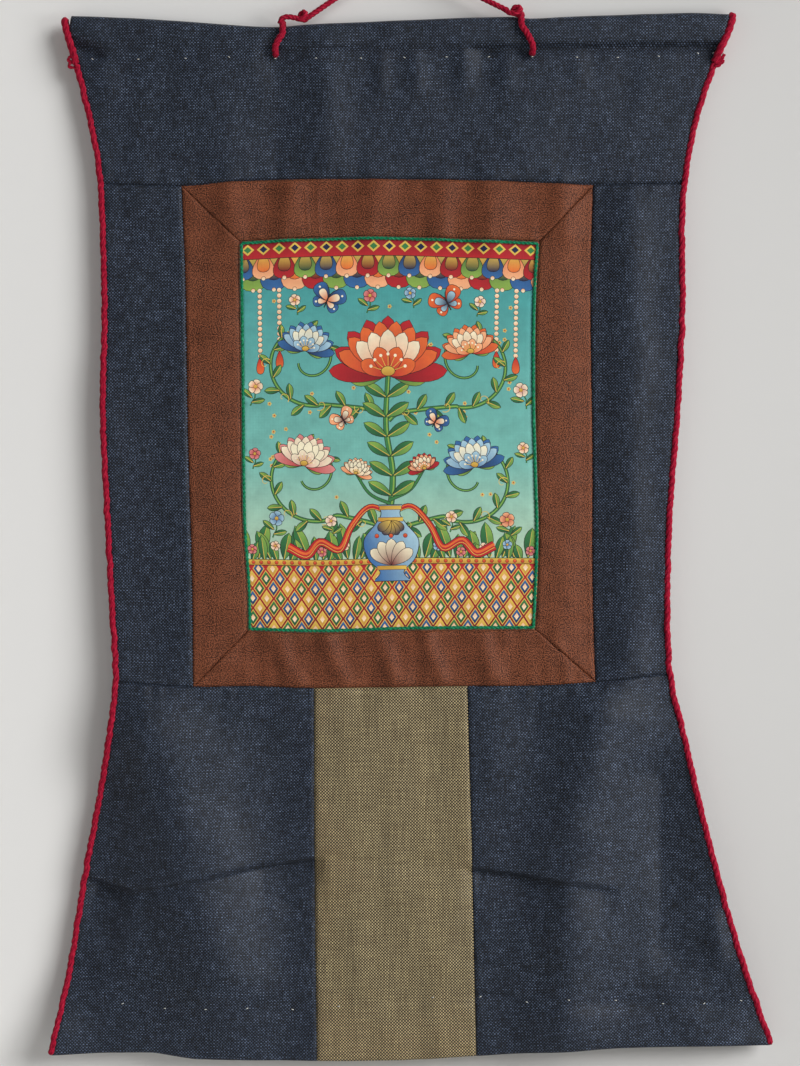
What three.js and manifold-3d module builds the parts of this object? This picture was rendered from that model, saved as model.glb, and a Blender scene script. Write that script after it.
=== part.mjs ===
// Thangka scroll: a painted canvas in a mitred border, pieced into a dark cloth hanging with a cord.
// Millimetres. +X is the viewer's right, +Y goes into the wall and +Z is up.
// The origin is the point where a nail bears under the middle of the hanging cord.
import * as THREE from "three";
import { mergeVertices } from "three/addons/utils/BufferGeometryUtils.js";
import Module from "manifold-3d";

const wasm = await Module();
wasm.setup();

// Cloth thicknesses and the gap kept between pieces that are sewn together
const clothThickness = 1.6;
const canvasThickness = 1.2;
const hemThickness = 2.8;
const hemHeight = 40;
const hemStep = 6;
const pieceGap = 0.3;

// Cords
const edgeCordDiameter = 5.2;
const hangingCordDiameter = 4.6;
const pipingDiameter = 2.8;
const pipingBend = 2.2;
const cordSides = 8;
const pipingSides = 6;

// Side edges of the cloth, from the slat pocket down over the waist to the hem
const sideEdges = [
  { z: -40, left: -252, right: 257 },
  { z: -61, left: -254, right: 252.5 },
  { z: -80, left: -249.5, right: 245.5 },
  { z: -120, left: -239.5, right: 232 },
  { z: -158, left: -232, right: 224 },
  { z: -197, left: -229, right: 220 },
  { z: -275, left: -227, right: 220 },
  { z: -353, left: -228, right: 216 },
  { z: -431, left: -224.5, right: 210 },
  { z: -509, left: -220.5, right: 208 },
  { z: -561, left: -217.5, right: 210.5 },
  { z: -600, left: -221.5, right: 219.5 },
  { z: -665, left: -233, right: 234 },
  { z: -724, left: -244, right: 249 },
  { z: -782, left: -253, right: 266 },
  { z: -821, left: -260.5, right: 280 },
  { z: -860, left: -269, right: 294 },
];

// Upper edge of the pocket, which dips where the left loop is tied
const topEdge = [
  { x: -254, z: -43 },
  { x: -209, z: -44.5 },
  { x: -162, z: -47.5 },
  { x: -100, z: -51.5 },
  { x: -68, z: -49.5 },
  { x: 25, z: -45.5 },
  { x: 87, z: -43.5 },
  { x: 104, z: -45 },
  { x: 134, z: -43.5 },
  { x: 228, z: -40.5 },
  { x: 257, z: -41.5 },
];

// Seam above the border and the side panels
const upperSeam = [
  { x: -230, z: -174.5 },
  { x: -169, z: -176 },
  { x: -131, z: -173 },
  { x: -85, z: -171 },
  { x: 20, z: -171 },
  { x: 80, z: -172.5 },
  { x: 153, z: -175 },
  { x: 222, z: -174 },
];

// Seam below the border and the side panels
const lowerSeam = [
  { x: -218, z: -563 },
  { x: -160, z: -567 },
  { x: -115, z: -566.5 },
  { x: -65, z: -568 },
  { x: 55, z: -566.5 },
  { x: 111, z: -566 },
  { x: 154, z: -563 },
  { x: 211, z: -557 },
];

// Lower edge of the hem
const bottomEdge = [
  { x: -269, z: -852 },
  { x: -193, z: -851 },
  { x: -174, z: -853.5 },
  { x: -154, z: -856 },
  { x: -63, z: -857.5 },
  { x: 10, z: -856.5 },
  { x: 61, z: -853.5 },
  { x: 150, z: -848 },
  { x: 236, z: -846.5 },
  { x: 294, z: -847 },
];

// Outer side edges of the border
const borderSides = [
  { z: -171, left: -169.5, right: 153 },
  { z: -250, left: -166, right: 150.5 },
  { z: -380, left: -163.5, right: 152 },
  { z: -480, left: -160.5, right: 152 },
  { z: -568, left: -159.5, right: 154 },
];

// Window of the border, whose loosely sewn right side wanders
const windowSides = [
  { z: -215, left: -124, right: 111 },
  { z: -265, left: -123.5, right: 108 },
  { z: -345, left: -122.5, right: 107.5 },
  { z: -405, left: -122, right: 109 },
  { z: -445, left: -121, right: 110 },
  { z: -485, left: -118, right: 109 },
  { z: -525, left: -117, right: 107 },
];
const windowTop = [
  { x: -124, z: -219.5 },
  { x: -80, z: -217 },
  { x: -10, z: -215.5 },
  { x: 55, z: -217.5 },
  { x: 111, z: -219.5 },
];
const windowBottom = [
  { x: -118, z: -523.5 },
  { x: -60, z: -525 },
  { x: 10, z: -523 },
  { x: 107, z: -522.5 },
];

// Side seams of the centre panel
const centrePanelSides = [
  { z: -566, left: -65.5, right: 54 },
  { z: -700, left: -65, right: 57.5 },
  { z: -860, left: -63, right: 61 },
];

// Half the depth of the top panel by distance below its upper edge: the pocket, its stitches, one layer
const pocketProfile = [
  { depth: 0, half: 0.9 },
  { depth: 0.6, half: 2.2 },
  { depth: 2.3, half: 3.8 },
  { depth: 5, half: 4.6 },
  { depth: 14, half: 4.7 },
  { depth: 20, half: 4 },
  { depth: 26, half: 2.2 },
  { depth: 31, half: 1.6 },
  { depth: 38, half: clothThickness / 2 },
];

// How far the cloth swings out from the wall on its way down
const swing = [
  { z: -75, forward: 0 },
  { z: -180, forward: 2 },
  { z: -565, forward: 6 },
  { z: -720, forward: 11 },
  { z: -860, forward: 12 },
];

// Soft ridges and troughs along short lines; a rise above zero comes towards the viewer
const folds = [
  { x: -190, z: -606, toX: -140, toZ: -790, halfWidth: 40, rise: 14 },
  { x: -268, z: -840, toX: -268, toZ: -860, halfWidth: 20, rise: 6 },
  { x: -95, z: -625, toX: -92, toZ: -830, halfWidth: 28, rise: -4 },
  { x: -236, z: -650, toX: -252, toZ: -770, halfWidth: 36, rise: -9 },
  { x: 160, z: -592, toX: 140, toZ: -672, halfWidth: 30, rise: 13 },
  { x: 136, z: -725, toX: 130, toZ: -835, halfWidth: 30, rise: 12 },
  { x: 204, z: -640, toX: 212, toZ: -770, halfWidth: 20, rise: -4.5 },
  { x: 235, z: -625, toX: 248, toZ: -715, halfWidth: 15, rise: 4 },
  { x: 262, z: -780, toX: 268, toZ: -800, halfWidth: 20, rise: 3 },
  { x: 298, z: -830, toX: 302, toZ: -860, halfWidth: 40, rise: -10 },
  { x: 152, z: -185, toX: 152, toZ: -555, halfWidth: 15, rise: -4.5 },
  { x: 184, z: -195, toX: 182, toZ: -545, halfWidth: 16, rise: 2.5 },
  { x: -166, z: -300, toX: -161, toZ: -540, halfWidth: 22, rise: 3 },
  { x: -225, z: -330, toX: -219, toZ: -560, halfWidth: 26, rise: 2 },
  { x: -58, z: -74, toX: -54, toZ: -158, halfWidth: 14, rise: 3 },
  { x: -150, z: -86, toX: -140, toZ: -130, halfWidth: 24, rise: 1.6 },
  { x: 110, z: -84, toX: 95, toZ: -150, halfWidth: 26, rise: 1.8 },
];

// Loops of cord tied round the pocket, each through a hole under the slat, with a knot on the upper edge
const loopHoleRadius = 3.6;
const loopClearance = 0.7;
const loopSteps = 26;
const loopHoleLength = 30;
const loopShoulder = { depthShare: 0.74, below: 0.2 };
const loopStraight = { below: 7, aboveHole: 4.7, easeIn: 0.4 };
const loopMouthShare = 0.55;
const loops = {
  left: { topX: -90, holeX: -95.5, holeZ: -73 },
  right: { topX: 96.5, holeX: 105, holeZ: -71.5 },
};
const knots = {
  left: { x: -81, y: -4.6, z: -46.2, long: 9.6, deep: 3.3, high: 3.1, turn: -0.12 },
  right: { x: 93.2, y: -4.2, z: -40.2, long: 6.8, deep: 3.9, high: 4.4, turn: 0.25 },
};

// Middle line of the free hanging cord, straight from each knot to a small bend over the nail
const hangingRoute = [
  { x: -70.9, y: -3.1, z: -45.1 },
  { x: -67, y: -2.8, z: -42.3 },
  { x: -60, y: -2.4, z: -37.4 },
  { x: -52, y: -1.9, z: -31.8 },
  { x: -44, y: -1.5, z: -26.3 },
  { x: -36, y: -1.1, z: -20.7 },
  { x: -28, y: -0.8, z: -15.1 },
  { x: -20, y: -0.5, z: -9.5 },
  { x: -12, y: -0.2, z: -3.9 },
  { x: -5.7, y: 0, z: 0.5 },
  { x: -3.4, y: 0, z: 1.7 },
  { x: -1.4, y: 0, z: 2.2 },
  { x: 0.9, y: 0, z: 2.3 },
  { x: 2.8, y: 0, z: 1.9 },
  { x: 4.5, y: 0, z: 1.2 },
  { x: 12, y: -0.2, z: -2.5 },
  { x: 20, y: -0.4, z: -6.5 },
  { x: 28, y: -0.7, z: -10.5 },
  { x: 36, y: -1, z: -14.5 },
  { x: 44, y: -1.3, z: -18.5 },
  { x: 52, y: -1.6, z: -22.5 },
  { x: 60, y: -2, z: -26.5 },
  { x: 68, y: -2.4, z: -30.5 },
  { x: 76, y: -2.9, z: -34.5 },
  { x: 81.5, y: -3.3, z: -37.3 },
  { x: 86, y: -3.6, z: -39.5 },
];
const hangingSteps = 30;

// Edge cords: where each loop over the pocket's end turns, the knot below it, and the knot's loose tail
const edgeCordSteps = 56;
const edgeLoopSteps = 18;
const edgeLoopBend = 3.3;
const edgeLoopRise = 9;
const edgeLoopFlare = 0.3;
const edgeCordStops = 22;
const edgeCordGap = 0.5;
const edgeCordEnds = {
  left: { side: -1, loopX: -260, loopTop: -44, knotZ: -80, bottom: -851.5, tailX: -4.5, tailZ: 2 },
  right: { side: 1, loopX: 261.2, loopTop: -40, knotZ: -78.5, bottom: -846.5, tailX: 8, tailZ: 5 },
};
const edgeKnotRadius = 4;
const edgeKnotOut = 2.4;
const tailRadius = 1.6;
const tailForward = 2;
const tailSides = 6;
const tailSteps = 4;

// Colours, roughness as cloth
const looks = {
  dark: { color: 0x373c47, roughness: 0.95 },
  olive: { color: 0x72654c, roughness: 0.95 },
  brown: { color: 0x64402f, roughness: 0.98 },
  canvas: { color: 0x86987f, roughness: 0.8 },
  green: { color: 0x0b6a45, roughness: 0.8 },
  red: { color: 0xa01c36, roughness: 0.9 },
};

// Cells across and down each piece
const cells = {
  topPanel: [30, 14],
  sidePanel: [8, 24],
  lowerPanel: [15, 24],
  centrePanel: [8, 24],
  borderAcross: [32, 4],
  borderDown: [5, 24],
  painting: [8, 12],
};
const pipingStops = 18;
const settleRounds = 12;
const weldDistance = 1e-4;

// Reads one column of a table as a smooth function of another, straight beyond its ends
function smoothColumn(table, key, column) {
  const rows = [...table].sort((a, b) => a[key] - b[key]);
  const last = rows.length - 1;
  const slopes = rows.map((row, i) => {
    const before = rows[Math.max(i - 1, 0)];
    const after = rows[Math.min(i + 1, last)];
    return (after[column] - before[column]) / (after[key] - before[key]);
  });
  return (at) => {
    if (at <= rows[0][key]) return rows[0][column] + slopes[0] * (at - rows[0][key]);
    if (at >= rows[last][key]) return rows[last][column] + slopes[last] * (at - rows[last][key]);
    const i = rows.findIndex((row) => at < row[key]) - 1;
    const span = rows[i + 1][key] - rows[i][key];
    const s = (at - rows[i][key]) / span;
    const rest = 1 - s;
    const ends = rest * rest * (1 + 2 * s) * rows[i][column] + s * s * (3 - 2 * s) * rows[i + 1][column];
    return ends + span * s * rest * (rest * slopes[i] - s * slopes[i + 1]);
  };
}

const leftEdge = smoothColumn(sideEdges, "z", "left");
const rightEdge = smoothColumn(sideEdges, "z", "right");
const topOf = smoothColumn(topEdge, "x", "z");
const upperSeamOf = smoothColumn(upperSeam, "x", "z");
const lowerSeamOf = smoothColumn(lowerSeam, "x", "z");
const bottomOf = smoothColumn(bottomEdge, "x", "z");
const borderLeft = smoothColumn(borderSides, "z", "left");
const borderRight = smoothColumn(borderSides, "z", "right");
const windowLeft = smoothColumn(windowSides, "z", "left");
const windowRight = smoothColumn(windowSides, "z", "right");
const windowTopOf = smoothColumn(windowTop, "x", "z");
const windowBottomOf = smoothColumn(windowBottom, "x", "z");
const centreLeft = smoothColumn(centrePanelSides, "z", "left");
const centreRight = smoothColumn(centrePanelSides, "z", "right");
const pocketHalf = smoothColumn(pocketProfile, "depth", "half");
const swingOf = smoothColumn(swing, "z", "forward");

// How far the middle of the cloth stands towards the viewer at a point of the hanging
function relief(x, z) {
  let forward = z > swing[0].z ? 0 : swingOf(z);
  for (const fold of folds) {
    const runX = fold.toX - fold.x;
    const runZ = fold.toZ - fold.z;
    const along = ((x - fold.x) * runX + (z - fold.z) * runZ) / (runX * runX + runZ * runZ);
    const t = THREE.MathUtils.clamp(along, 0, 1);
    const away = Math.hypot(x - fold.x - t * runX, z - fold.z - t * runZ) / fold.halfWidth;
    forward += fold.rise * Math.exp(-away * away);
  }
  return forward;
}

const offset = (line, by) => (at) => line(at) + by;

// A straight mitre seam between two corners, as x by z and as z by x
function mitre(outer, inner) {
  const slope = (inner.z - outer.z) / (inner.x - outer.x);
  return {
    xAt: (z) => outer.x + (z - outer.z) / slope,
    zAt: (x) => outer.z + (x - outer.x) * slope,
  };
}

// A point of a four-sided piece, where its side edges run by height and its ends by width
function pointIn(edges, u, v) {
  let x = 0;
  let z = (edges.top(0) + edges.bottom(0)) / 2;
  for (let round = 0; round < settleRounds; round += 1) {
    x = THREE.MathUtils.lerp(edges.left(z), edges.right(z), u);
    z = THREE.MathUtils.lerp(edges.bottom(x), edges.top(x), v);
  }
  return { x, z };
}

// A closed sheet between four edges, on the relief, with half its thickness given at each point
function sheetGeometry(edges, [across, down], halfAt, spread = (v) => v) {
  const geometry = new THREE.BoxGeometry(1, 1, 1, across, down, 1);
  const spots = geometry.attributes.position;
  for (let i = 0; i < spots.count; i += 1) {
    const { x, z } = pointIn(edges, spots.getX(i) + 0.5, spread(spots.getY(i) + 0.5));
    const front = 2 * spots.getZ(i);
    spots.setXYZ(i, x, -relief(x, z) - front * halfAt(x, z), z);
  }
  return welded(geometry);
}

// Joins the shared corners, so that the faces close into one body
function welded(geometry) {
  geometry.deleteAttribute("normal");
  geometry.deleteAttribute("uv");
  return mergeVertices(geometry, weldDistance);
}

function toSolid(geometry) {
  const shape = welded(geometry);
  const vertProperties = Float32Array.from(shape.attributes.position.array);
  const triVerts = Uint32Array.from(shape.index.array);
  return new wasm.Manifold(new wasm.Mesh({ numProp: 3, vertProperties, triVerts }));
}

function toGeometry(solid) {
  const { vertProperties, triVerts } = solid.getMesh();
  const geometry = new THREE.BufferGeometry();
  geometry.setAttribute("position", new THREE.BufferAttribute(vertProperties, 3));
  geometry.setIndex(new THREE.BufferAttribute(triVerts, 1));
  return geometry;
}

function roundSection(radius, sides) {
  return new THREE.Shape(new THREE.EllipseCurve(0, 0, radius, radius).getPoints(sides).slice(0, sides));
}

function tube(points, radius, sides, steps) {
  const path = new THREE.CatmullRomCurve3(points.map(({ x, y, z }) => new THREE.Vector3(x, y, z)));
  return new THREE.ExtrudeGeometry(roundSection(radius, sides), { steps, extrudePath: path });
}

// A closed ring of cord: a torus carried onto the points of a closed route that lies nearly square to an axis
function ringGeometry(points, axis, radius, sides) {
  const steps = points.length;
  const path = new THREE.CatmullRomCurve3(points, true, "centripetal");
  const geometry = new THREE.TorusGeometry(1, radius, sides, steps);
  const spots = geometry.attributes.position;
  for (let i = 0; i < spots.count; i += 1) {
    const step = i % (steps + 1);
    const turn = (Math.floor(i / (steps + 1)) / sides) * 2 * Math.PI;
    const along = path.getTangent((step % steps) / steps);
    const out = along.clone().cross(axis).normalize();
    const up = out.clone().cross(along);
    const spot = path.getPoint((step % steps) / steps);
    spot.addScaledVector(out, radius * Math.cos(turn)).addScaledVector(up, radius * Math.sin(turn));
    spots.setXYZ(i, spot.x, spot.y, spot.z);
  }
  return welded(geometry);
}

const group = new THREE.Group();

function addPiece(name, geometry, look) {
  geometry.computeVertexNormals();
  const mesh = new THREE.Mesh(geometry, new THREE.MeshStandardMaterial({ ...look, metalness: 0 }));
  mesh.name = name;
  group.add(mesh);
}

const seam = pieceGap / 2;
const flatHalf = () => clothThickness / 2;

// Top panel, with finer rows near the pocket and two holes for the loops
function topPanel() {
  const edges = { left: leftEdge, right: rightEdge, top: topOf, bottom: offset(upperSeamOf, seam) };
  const towardsTop = (v) => 1 - (1 - v) * (1 - v);
  const deepest = pocketProfile.at(-1).depth;
  const half = (x, z) => pocketHalf(THREE.MathUtils.clamp(topOf(x) - z, 0, deepest));
  let panel = toSolid(sheetGeometry(edges, cells.topPanel, half, towardsTop));
  for (const loop of Object.values(loops)) {
    const hole = new THREE.CylinderGeometry(loopHoleRadius, loopHoleRadius, loopHoleLength, 12);
    hole.translate(loop.holeX, 0, loop.holeZ);
    panel = panel.subtract(toSolid(hole));
  }
  addPiece("top_panel", toGeometry(panel), looks.dark);
}

function sidePanels() {
  const ends = { top: offset(upperSeamOf, -seam), bottom: offset(lowerSeamOf, seam) };
  const left = { ...ends, left: leftEdge, right: offset(borderLeft, -seam) };
  const right = { ...ends, left: offset(borderRight, seam), right: rightEdge };
  addPiece("side_panel_left", sheetGeometry(left, cells.sidePanel, flatHalf), looks.dark);
  addPiece("side_panel_right", sheetGeometry(right, cells.sidePanel, flatHalf), looks.dark);
}

// Lower panels and the centre panel, doubled along the hem
function lowerPanels() {
  const ends = { top: offset(lowerSeamOf, -seam), bottom: bottomOf };
  const half = (x, z) => {
    const hem = THREE.MathUtils.smoothstep(hemHeight + hemStep - (z - bottomOf(x)), 0, hemStep);
    return THREE.MathUtils.lerp(clothThickness, hemThickness, hem) / 2;
  };
  const left = { ...ends, left: leftEdge, right: offset(centreLeft, -seam) };
  const centre = { ...ends, left: offset(centreLeft, seam), right: offset(centreRight, -seam) };
  const right = { ...ends, left: offset(centreRight, seam), right: rightEdge };
  addPiece("lower_panel_left", sheetGeometry(left, cells.lowerPanel, half), looks.dark);
  addPiece("centre_panel", sheetGeometry(centre, cells.centrePanel, half), looks.olive);
  addPiece("lower_panel_right", sheetGeometry(right, cells.lowerPanel, half), looks.dark);
}

// The four border strips meet at mitred corners
function border() {
  const corner = (outerX, outerZ, innerX, innerZ) => {
    const startZ = outerZ(outerX((outerZ(0) + innerZ(0)) / 2));
    const outer = { x: outerX(startZ), z: startZ };
    const inner = { x: innerX(innerZ(outer.x)), z: innerZ(innerX(innerZ(outer.x))) };
    return mitre(outer, inner);
  };
  const topLeft = corner(borderLeft, upperSeamOf, windowLeft, windowTopOf);
  const topRight = corner(borderRight, upperSeamOf, windowRight, windowTopOf);
  const bottomLeft = corner(borderLeft, lowerSeamOf, windowLeft, windowBottomOf);
  const bottomRight = corner(borderRight, lowerSeamOf, windowRight, windowBottomOf);
  const slant = seam * Math.SQRT2;
  const strips = {
    border_top: {
      left: offset(topLeft.xAt, slant),
      right: offset(topRight.xAt, -slant),
      top: offset(upperSeamOf, -seam),
      bottom: windowTopOf,
    },
    border_bottom: {
      left: offset(bottomLeft.xAt, slant),
      right: offset(bottomRight.xAt, -slant),
      top: windowBottomOf,
      bottom: offset(lowerSeamOf, seam),
    },
    border_left: {
      left: offset(borderLeft, seam),
      right: windowLeft,
      top: offset(topLeft.zAt, -slant),
      bottom: offset(bottomLeft.zAt, slant),
    },
    border_right: {
      left: windowRight,
      right: offset(borderRight, -seam),
      top: offset(topRight.zAt, -slant),
      bottom: offset(bottomRight.zAt, slant),
    },
  };
  for (const [name, edges] of Object.entries(strips)) {
    const across = name === "border_top" || name === "border_bottom";
    const grid = across ? cells.borderAcross : cells.borderDown;
    addPiece(name, sheetGeometry(edges, grid, flatHalf), looks.brown);
  }
}

// Edges of the border's window, moved inwards
function windowEdges(inset) {
  return {
    left: offset(windowLeft, inset),
    right: offset(windowRight, -inset),
    top: offset(windowTopOf, -inset),
    bottom: offset(windowBottomOf, inset),
  };
}

// The canvas fills the window inside the piping
function painting() {
  const edges = windowEdges(pipingDiameter + 2 * pieceGap);
  addPiece("painting", sheetGeometry(edges, cells.painting, () => canvasThickness / 2), looks.canvas);
}

// The piping runs round the window, a gap inside the border, with a small bend at each corner
function piping() {
  const edges = windowEdges(pipingDiameter / 2 + pieceGap);
  const middle = pointIn(edges, 0.5, 0.5);
  const nearU = pipingBend / (edges.right(middle.z) - edges.left(middle.z));
  const nearV = pipingBend / (edges.top(middle.x) - edges.bottom(middle.x));
  const corners = [
    { u: 1 - nearU, v: nearV, start: -90 },
    { u: 1 - nearU, v: 1 - nearV, start: 0 },
    { u: nearU, v: 1 - nearV, start: 90 },
    { u: nearU, v: nearV, start: 180 },
  ];
  const points = [];
  corners.forEach((corner, i) => {
    for (const turn of [0, 30, 60, 90]) {
      const angle = THREE.MathUtils.degToRad(corner.start + turn);
      points.push(pointIn(edges, corner.u + nearU * Math.cos(angle), corner.v + nearV * Math.sin(angle)));
    }
    const next = corners[(i + 1) % corners.length];
    const side = THREE.MathUtils.degToRad(corner.start + 90);
    for (let stop = 1; stop < pipingStops; stop += 1) {
      const u = THREE.MathUtils.lerp(corner.u, next.u, stop / pipingStops) + nearU * Math.cos(side);
      const v = THREE.MathUtils.lerp(corner.v, next.v, stop / pipingStops) + nearV * Math.sin(side);
      points.push(pointIn(edges, u, v));
    }
  });
  const route = points.map(({ x, z }) => new THREE.Vector3(x, -relief(x, z), z));
  const intoWall = new THREE.Vector3(0, 1, 0);
  addPiece("piping", ringGeometry(route, intoWall, pipingDiameter / 2, pipingSides), looks.green);
}

// An edge cord lies just outside its cloth edge, turns over the pocket's end and is knotted below it
function edgeCord(name, edge, end) {
  const radius = edgeCordDiameter / 2;
  const outside = end.side * (radius + edgeCordGap);
  const run = [];
  for (let i = 0; i <= edgeCordStops; i += 1) {
    const z = THREE.MathUtils.lerp(end.bottom, end.knotZ, i / edgeCordStops);
    run.push({ x: edge(z) + outside, y: -relief(edge(z), z), z });
  }
  const knot = run.at(-1);
  const shoulder = end.loopTop - radius - edgeLoopBend;
  const low = knot.z + edgeLoopRise;
  const high = (low + shoulder) / 2;
  const rising = (y) => [
    { x: knot.x, y: knot.y + Math.sign(y), z: knot.z },
    { x: edge(low) + outside, y, z: low },
    { x: THREE.MathUtils.lerp(edge(high) + outside, end.loopX, edgeLoopFlare), y, z: high },
    { x: end.loopX, y, z: shoulder },
  ];
  const turn = { x: end.loopX, y: 0, z: shoulder + edgeLoopBend };
  const over = [...rising(-edgeLoopBend), turn, ...rising(edgeLoopBend).reverse()];
  const knotBall = new THREE.SphereGeometry(edgeKnotRadius, 10, 6);
  knotBall.translate(knot.x + end.side * edgeKnotOut, knot.y, knot.z);
  const tail = [0, 0.5, 1].map((share) => ({
    x: knot.x + share * end.tailX,
    y: knot.y - tailForward,
    z: knot.z + share * share * end.tailZ,
  }));
  const cord = toSolid(tube(run, radius, cordSides, edgeCordSteps))
    .add(toSolid(tube(over, radius, cordSides, edgeLoopSteps)))
    .add(toSolid(knotBall))
    .add(toSolid(tube(tail, tailRadius, tailSides, tailSteps)));
  addPiece(name, toGeometry(cord), looks.red);
}

// A hanger loop goes down the front of the pocket, through its hole and up the back, and is knotted on top
function hangerLoop(name, loop, knot) {
  const radius = hangingCordDiameter / 2;
  const top = topOf(loop.topX);
  const front = Math.max(...pocketProfile.map((row) => row.half)) + loopClearance + radius;
  const half = [
    { x: loop.topX, y: 0, z: top + radius + loopClearance },
    { x: loop.topX, y: -front * loopShoulder.depthShare, z: top - loopShoulder.below },
    { x: loop.topX, y: -front, z: top - loopStraight.below },
    { x: (loop.topX + loop.holeX) / 2, y: -front, z: (top + loop.holeZ) / 2 },
    { x: loop.holeX, y: -front + loopStraight.easeIn, z: loop.holeZ + loopStraight.aboveHole },
    { x: loop.holeX, y: -front * loopMouthShare, z: loop.holeZ },
    { x: loop.holeX, y: 0, z: loop.holeZ },
  ];
  const back = half.slice(1, -1).reverse().map((spot) => ({ ...spot, y: -spot.y }));
  const points = [...half, ...back].map(({ x, y, z }) => new THREE.Vector3(x, y, z));
  const route = new THREE.CatmullRomCurve3(points, true).getSpacedPoints(loopSteps).slice(0, loopSteps);
  const ring = toSolid(ringGeometry(route, new THREE.Vector3(1, 0, 0), radius, cordSides));
  const body = new THREE.SphereGeometry(1, 12, 7);
  const wrap = new THREE.TorusGeometry(0.78, 0.3, 6, 12);
  wrap.rotateY(Math.PI / 2);
  const shapes = [body, wrap].map((shape) => {
    shape.scale(knot.long, knot.deep, knot.high);
    shape.rotateY(knot.turn);
    shape.translate(knot.x, knot.y, knot.z);
    return toSolid(shape);
  });
  addPiece(name, toGeometry(ring.add(shapes[0]).add(shapes[1])), looks.red);
}

topPanel();
sidePanels();
lowerPanels();
border();
painting();
piping();
edgeCord("edge_cord_left", leftEdge, edgeCordEnds.left);
edgeCord("edge_cord_right", rightEdge, edgeCordEnds.right);
hangerLoop("hanger_loop_left", loops.left, knots.left);
hangerLoop("hanger_loop_right", loops.right, knots.right);
const hangingCord = tube(hangingRoute, hangingCordDiameter / 2, cordSides, hangingSteps);
addPiece("hanging_cord", welded(hangingCord), looks.red);

export default group;
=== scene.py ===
import math

import bpy
import numpy as np
from mathutils.geometry import delaunay_2d_cdt
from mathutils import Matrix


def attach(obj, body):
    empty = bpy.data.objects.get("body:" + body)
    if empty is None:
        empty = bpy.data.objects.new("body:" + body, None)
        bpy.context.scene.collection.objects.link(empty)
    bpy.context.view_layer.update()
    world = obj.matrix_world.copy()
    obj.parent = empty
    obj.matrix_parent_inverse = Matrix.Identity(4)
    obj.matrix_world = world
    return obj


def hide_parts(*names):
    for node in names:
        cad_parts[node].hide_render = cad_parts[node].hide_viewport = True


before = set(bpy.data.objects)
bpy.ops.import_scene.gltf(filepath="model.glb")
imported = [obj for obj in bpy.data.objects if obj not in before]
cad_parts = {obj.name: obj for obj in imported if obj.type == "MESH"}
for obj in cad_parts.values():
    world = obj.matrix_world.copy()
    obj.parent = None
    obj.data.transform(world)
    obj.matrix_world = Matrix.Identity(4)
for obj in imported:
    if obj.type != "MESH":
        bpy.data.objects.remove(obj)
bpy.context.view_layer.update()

mm = 0.001  # tables are in millimetres unless they say otherwise, meshes are in metres
chance = np.random.default_rng(27)

# camera: square on to the cloth, from more than two cloth heights away
cameraSetup = {
    "distance": 2000, "sharpPlane": -5, "fieldHeight": 831.5, "centreX": 1.6, "centreZ": -447.2, "sensor": 36,
}


def placeCamera():
    setup = cameraSetup
    data = bpy.data.cameras.new("camera")
    data.sensor_width = setup["sensor"]
    data.lens = setup["sensor"] * (setup["distance"] + setup["sharpPlane"]) / setup["fieldHeight"]
    camera = bpy.data.objects.new("camera", data)
    camera.location = (setup["centreX"] * mm, -setup["distance"] * mm, setup["centreZ"] * mm)
    camera.rotation_euler = (math.pi / 2, 0, 0)
    bpy.context.collection.objects.link(camera)
    bpy.context.scene.camera = camera


placeCamera()
print("camera placed")

# the free hanging cord, from knot to knot over the nail: x, y, z
hangingRoute = [
    (-70.9, -3.1, -45.1), (-67, -2.8, -42.3), (-60, -2.4, -37.4), (-52, -1.9, -31.8), (-44, -1.5, -26.3),
    (-36, -1.1, -20.7), (-28, -0.8, -15.1), (-20, -0.5, -9.5), (-12, -0.2, -3.9), (-5.7, 0, 0.5),
    (-3.4, 0, 1.7), (-1.4, 0, 2.2), (0.9, 0, 2.3), (2.8, 0, 1.9), (4.5, 0, 1.2),
    (12, -0.2, -2.5), (20, -0.4, -6.5), (28, -0.7, -10.5), (36, -1, -14.5), (44, -1.3, -18.5),
    (52, -1.6, -22.5), (60, -2, -26.5), (68, -2.4, -30.5), (76, -2.9, -34.5), (81.5, -3.3, -37.3),
    (86, -3.6, -39.5),
]
cords = {
    "edgeDiameter": 5.2, "edgeGap": -0.5, "hangingDiameter": 4.6, "pipingDiameter": 2.8,
    "edgePitch": 19, "hangingPitch": 11, "pipingPitch": 7, "loopSwell": 1.15, "lumps": 0.05,
    "strandShare": 0.34,
}

# outline of the cloth: height, left edge, right edge
sideEdges = [
    (-40, -252, 257), (-61, -254, 252.5), (-80, -249.5, 245.5), (-120, -239.5, 232), (-158, -232, 224),
    (-197, -229, 220), (-275, -227, 220), (-353, -228, 216), (-431, -224.5, 210), (-509, -220.5, 208),
    (-561, -217.5, 210.5), (-600, -221.5, 219.5), (-665, -233, 234), (-724, -244, 249), (-782, -253, 266),
    (-821, -260.5, 280), (-860, -269, 294),
]
# lines across the cloth: x, height
topEdge = [
    (-254, -43), (-209, -44.5), (-162, -47.5), (-100, -51.5), (-68, -49.5), (25, -45.5), (87, -43.5),
    (104, -45), (134, -43.5), (228, -40.5), (257, -41.5),
]
upperSeam = [
    (-230, -174.5), (-169, -176), (-131, -173), (-85, -171), (20, -171), (80, -172.5), (153, -175),
    (222, -174),
]
lowerSeam = [
    (-218, -563), (-160, -567), (-115, -566.5), (-65, -568), (55, -566.5), (111, -566), (154, -563),
    (211, -557),
]
bottomEdge = [
    (-269, -852), (-193, -851), (-174, -853.5), (-154, -856), (-63, -857.5), (10, -856.5), (61, -853.5),
    (150, -848), (236, -846.5), (294, -847),
]
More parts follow.
